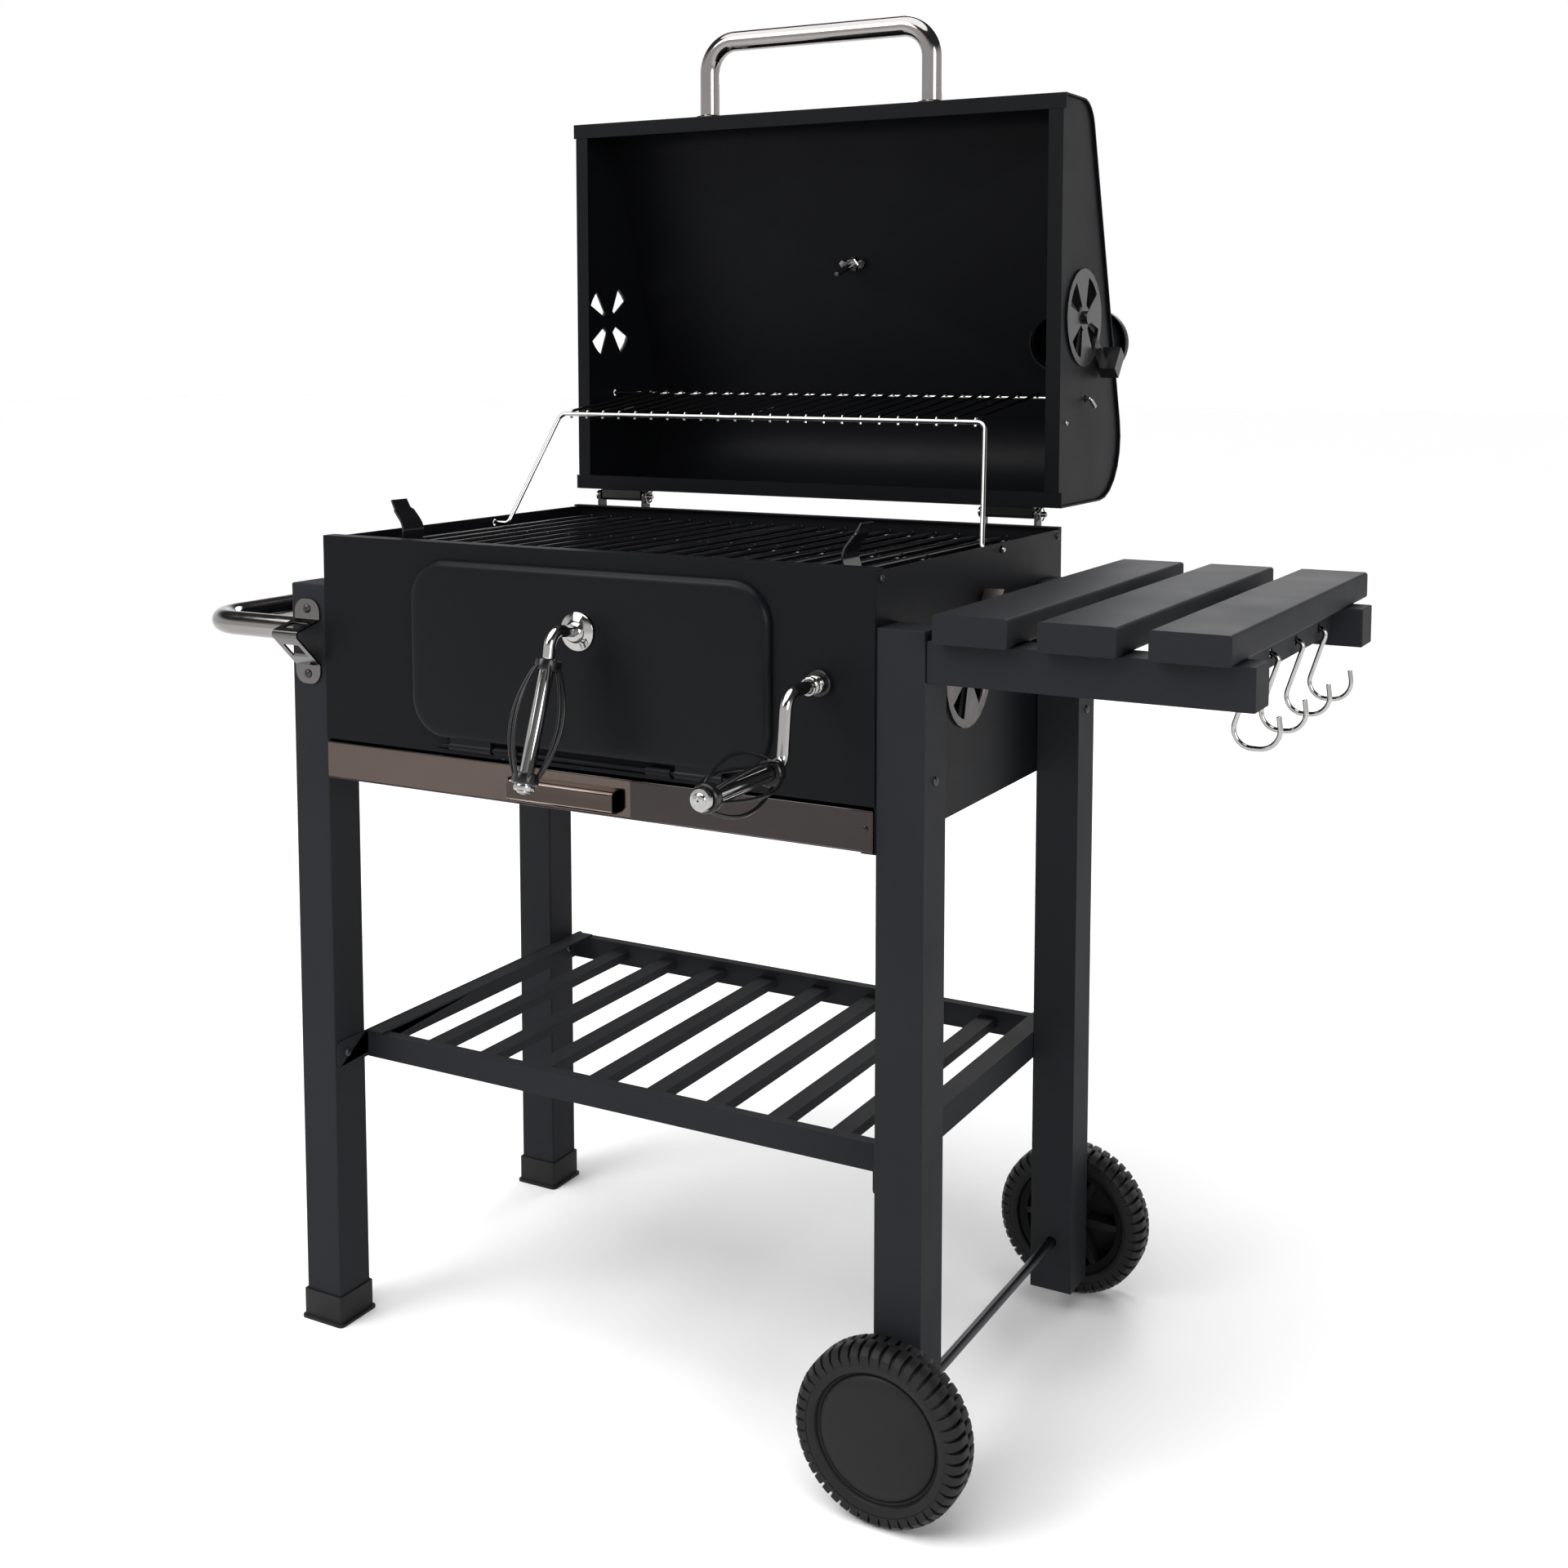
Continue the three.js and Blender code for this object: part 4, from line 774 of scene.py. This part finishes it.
def add_side_handle():
    """A tube handle between the two left legs, with a collar at each end."""
    handle = Shape()
    (front, back), z, bend = LEG_MIDDLES, 720, 48
    path = [((-45.6, front, z), 0), ((-190, front, z), bend), ((-190, back, z), bend), ((-45.6, back, z), 0)]
    handle.tube(rounded(path, 18), 12.5, 40)
    collar = [(12.6, 0), (16.4, 0), (17, 0.6), (17, 1.6), (15.6, 2.6), (12.6, 2.8)]
    for y in (front, back):
        handle.lathe(collar, turned_to((-1, 0, 0), at(-45.5, y, z)), 48, closed=True)
    handle.finish("side_handle_tube", "cart", [TUBE_CHROME_DARK_REFLECTION], "chrome", ["side_handle"])


add_hooks()
add_side_handle()

# ---------------------------------------------------------------- pins, screws and small trim


def add_hinge_pins():
    y, z = HINGE
    for side, x in (("left", 60), ("right", 550)):
        pin = Shape()
        profile = [(0, 0), (5, 0), (6, 0.8), (6, 2.4), (5.4, 3), (3, 3), (3, 75), (2.4, 76), (0, 76)]
        pin.lathe(profile, turned_to((1, 0, 0), at(x - 36, y, z)), 28)
        ring = [(x + 35, y + 7 * math.cos(a), z + 7 * math.sin(a))
                for a in (2 * math.pi * k / 24 for k in range(24))]
        pin.tube(ring, 0.9, 8, loop=True)
        pin.finish(f"hinge_pin_{side}_bar", "cart", [STAINLESS], "stainless", [f"hinge_pin_{side}"])


def add_screws():
    cart = Shape()
    for y in (12, 428):
        for z in (812, 600):
            cart.screw((BODY_WIDTH, y, z), (1, 0, 0), 3.4)
            cart.screw((0, y, z), (-1, 0, 0), 3.4)
    for x in (222, 449):
        cart.screw((x, -2.3, 619.5), (0, -1, 0), 1.8)
    for z in (746, 680):
        cart.screw((-23.3, -0.3, z), (0, -1, 0), 4.6)
    left, right = LEG_FACES
    for y in LEG_MIDDLES:
        cart.screw((right, y, 758), (1, 0, 0), 4.2)
        cart.screw((left, y, 758), (-1, 0, 0), 4.2)
        cart.screw((left, y, 640), (-1, 0, 0), 4.2)
        cart.screw((right, y, 640), (1, 0, 0), 4.2)
    cart.finish("cart_screws", "cart", [DARK_STEEL, RECESS_SHADE], "chrome")

    lid = Shape()
    for x, outward in ((607, 1), (3, -1)):
        lid.screw((x, 457, 928), (outward, 0, 0), 2.6)
    lid.finish("lid_screws", "lid", [CHROME, RECESS_SHADE], "chrome")

    shelf = Shape()
    for x, inward in ((2, 1), (608, -1)):
        for y in (18, 408):
            shelf.screw((x, y, 287), (inward, 0, 0), 4.5)
    shelf.finish("shelf_screws", "cart", [DARK_STEEL, RECESS_SHADE], "chrome")


def add_drawer_trim():
    """The overlapping sheet on the drawer front's right half, its rivet and the two folded edges. The sheet
    is a darker copy of the drawer steel, a painted dark reflection; the rivet and the folded edges are in
    bright metal, as painted highlights.
    """
    trim = Shape()
    block(trim, (363, -1.1, 578), (608.6, -0.4, 612.6))
    turn = turned_to((0, -1, 0), at(602, -1.1, 598))
    trim.lathe([(0, 0), (2.8, 0), (2.6, 0.8), (1.6, 1.5), (0, 1.8)], turn, 24, 1)
    for y, z in ((-0.6, 613.3), (-0.6, 577.9)):
        trim.tube([(0.8, y, z), (609, y, z)], 0.8, 8, 1, round_ends=0.3)
    trim.finish("ash_drawer_overlap", "ash_drawer", [OVERLAP_DARK_REFLECTION_STEEL, BRIGHT], "stainless", bevel=0.25)


add_hinge_pins()
add_screws()
add_drawer_trim()

# ---------------------------------------------------------------- camera, light and floor

CAMERA = {"place": (1313.0, -1435.5, 1005.5), "azimuth": 28.84, "down": 5.2, "focal": 2343.0, "row": 640}
IMAGE = 1920
SENSOR = 36

lens = bpy.data.cameras.new("camera")
lens.sensor_width = SENSOR
lens.lens = CAMERA["focal"] / IMAGE * SENSOR
lens.shift_y = (CAMERA["row"] - IMAGE / 2) / IMAGE
lens.clip_end = 100
camera = bpy.data.objects.new("camera", lens)
camera.location = at(*CAMERA["place"])
camera.rotation_euler = (math.radians(90 - CAMERA["down"]), 0, math.radians(CAMERA["azimuth"]))
bpy.context.scene.collection.objects.link(camera)
bpy.context.scene.camera = camera


def soft_light(name, place, target, size, watts, colour=(1, 1, 1)):
    data = bpy.data.lights.new(name, "AREA")
    data.shape = "DISK"
    data.size = size
    data.energy = watts
    data.color = colour
    lamp = bpy.data.objects.new(name, data)
    lamp.location = place
    lamp.rotation_euler = (Vector(target) - Vector(place)).to_track_quat("-Z", "Y").to_euler()
    bpy.context.scene.collection.objects.link(lamp)


soft_light("key", (-2.2, -3.4, 3.4), (0, 0, 0.6), 2.4, 105)
soft_light("fill", (3.6, -2.2, 1.9), (0, 0, 0.7), 2.2, 70)
soft_light("back", (-0.5, 3.8, 2.8), (0, 0, 0.8), 2.2, 60)

overhead = bpy.data.lights.new("overhead", "SUN")
overhead.energy = 3.4
overhead.angle = math.radians(70)
overhead_lamp = bpy.data.objects.new("overhead", overhead)
overhead_lamp.location = (0, 0, 4)
overhead_lamp.rotation_euler = (math.radians(14), math.radians(-10), 0)
bpy.context.scene.collection.objects.link(overhead_lamp)

world = bpy.data.worlds.new("studio")
world.use_nodes = True
sky = world.node_tree
ray = sky.nodes.new("ShaderNodeTexCoord")
axes = sky.nodes.new("ShaderNodeSeparateXYZ")
fade = sky.nodes.new("ShaderNodeMapRange")
fade.inputs["From Min"].default_value = 0.22
fade.inputs["From Max"].default_value = 0.45
fade.inputs["To Min"].default_value = 1.0
fade.inputs["To Max"].default_value = 0.07
sky.links.new(ray.outputs["Generated"], axes.inputs["Vector"])
sky.links.new(axes.outputs["Z"], fade.inputs["Value"])
sky.links.new(fade.outputs["Result"], sky.nodes["Background"].inputs["Color"])
bpy.context.scene.world = world
bpy.context.scene.view_settings.view_transform = "Standard"

floor = Finish("studio_floor", (0.86, 0.86, 0.86), 0.7)
floor.vary_roughness(floor.noise(3), 0.62, 0.75)
floor_mesh = bpy.data.meshes.new("floor")
SPREAD = 30
floor_corners = [(x * SPREAD, y * SPREAD, 0) for x, y in ((-1, -1), (1, -1), (1, 1), (-1, 1))]
floor_mesh.from_pydata(floor_corners, [], [(0, 1, 2, 3)])
floor_mesh.materials.append(floor.material)
ground = bpy.data.objects.new("floor", floor_mesh)
bpy.context.scene.collection.objects.link(ground)
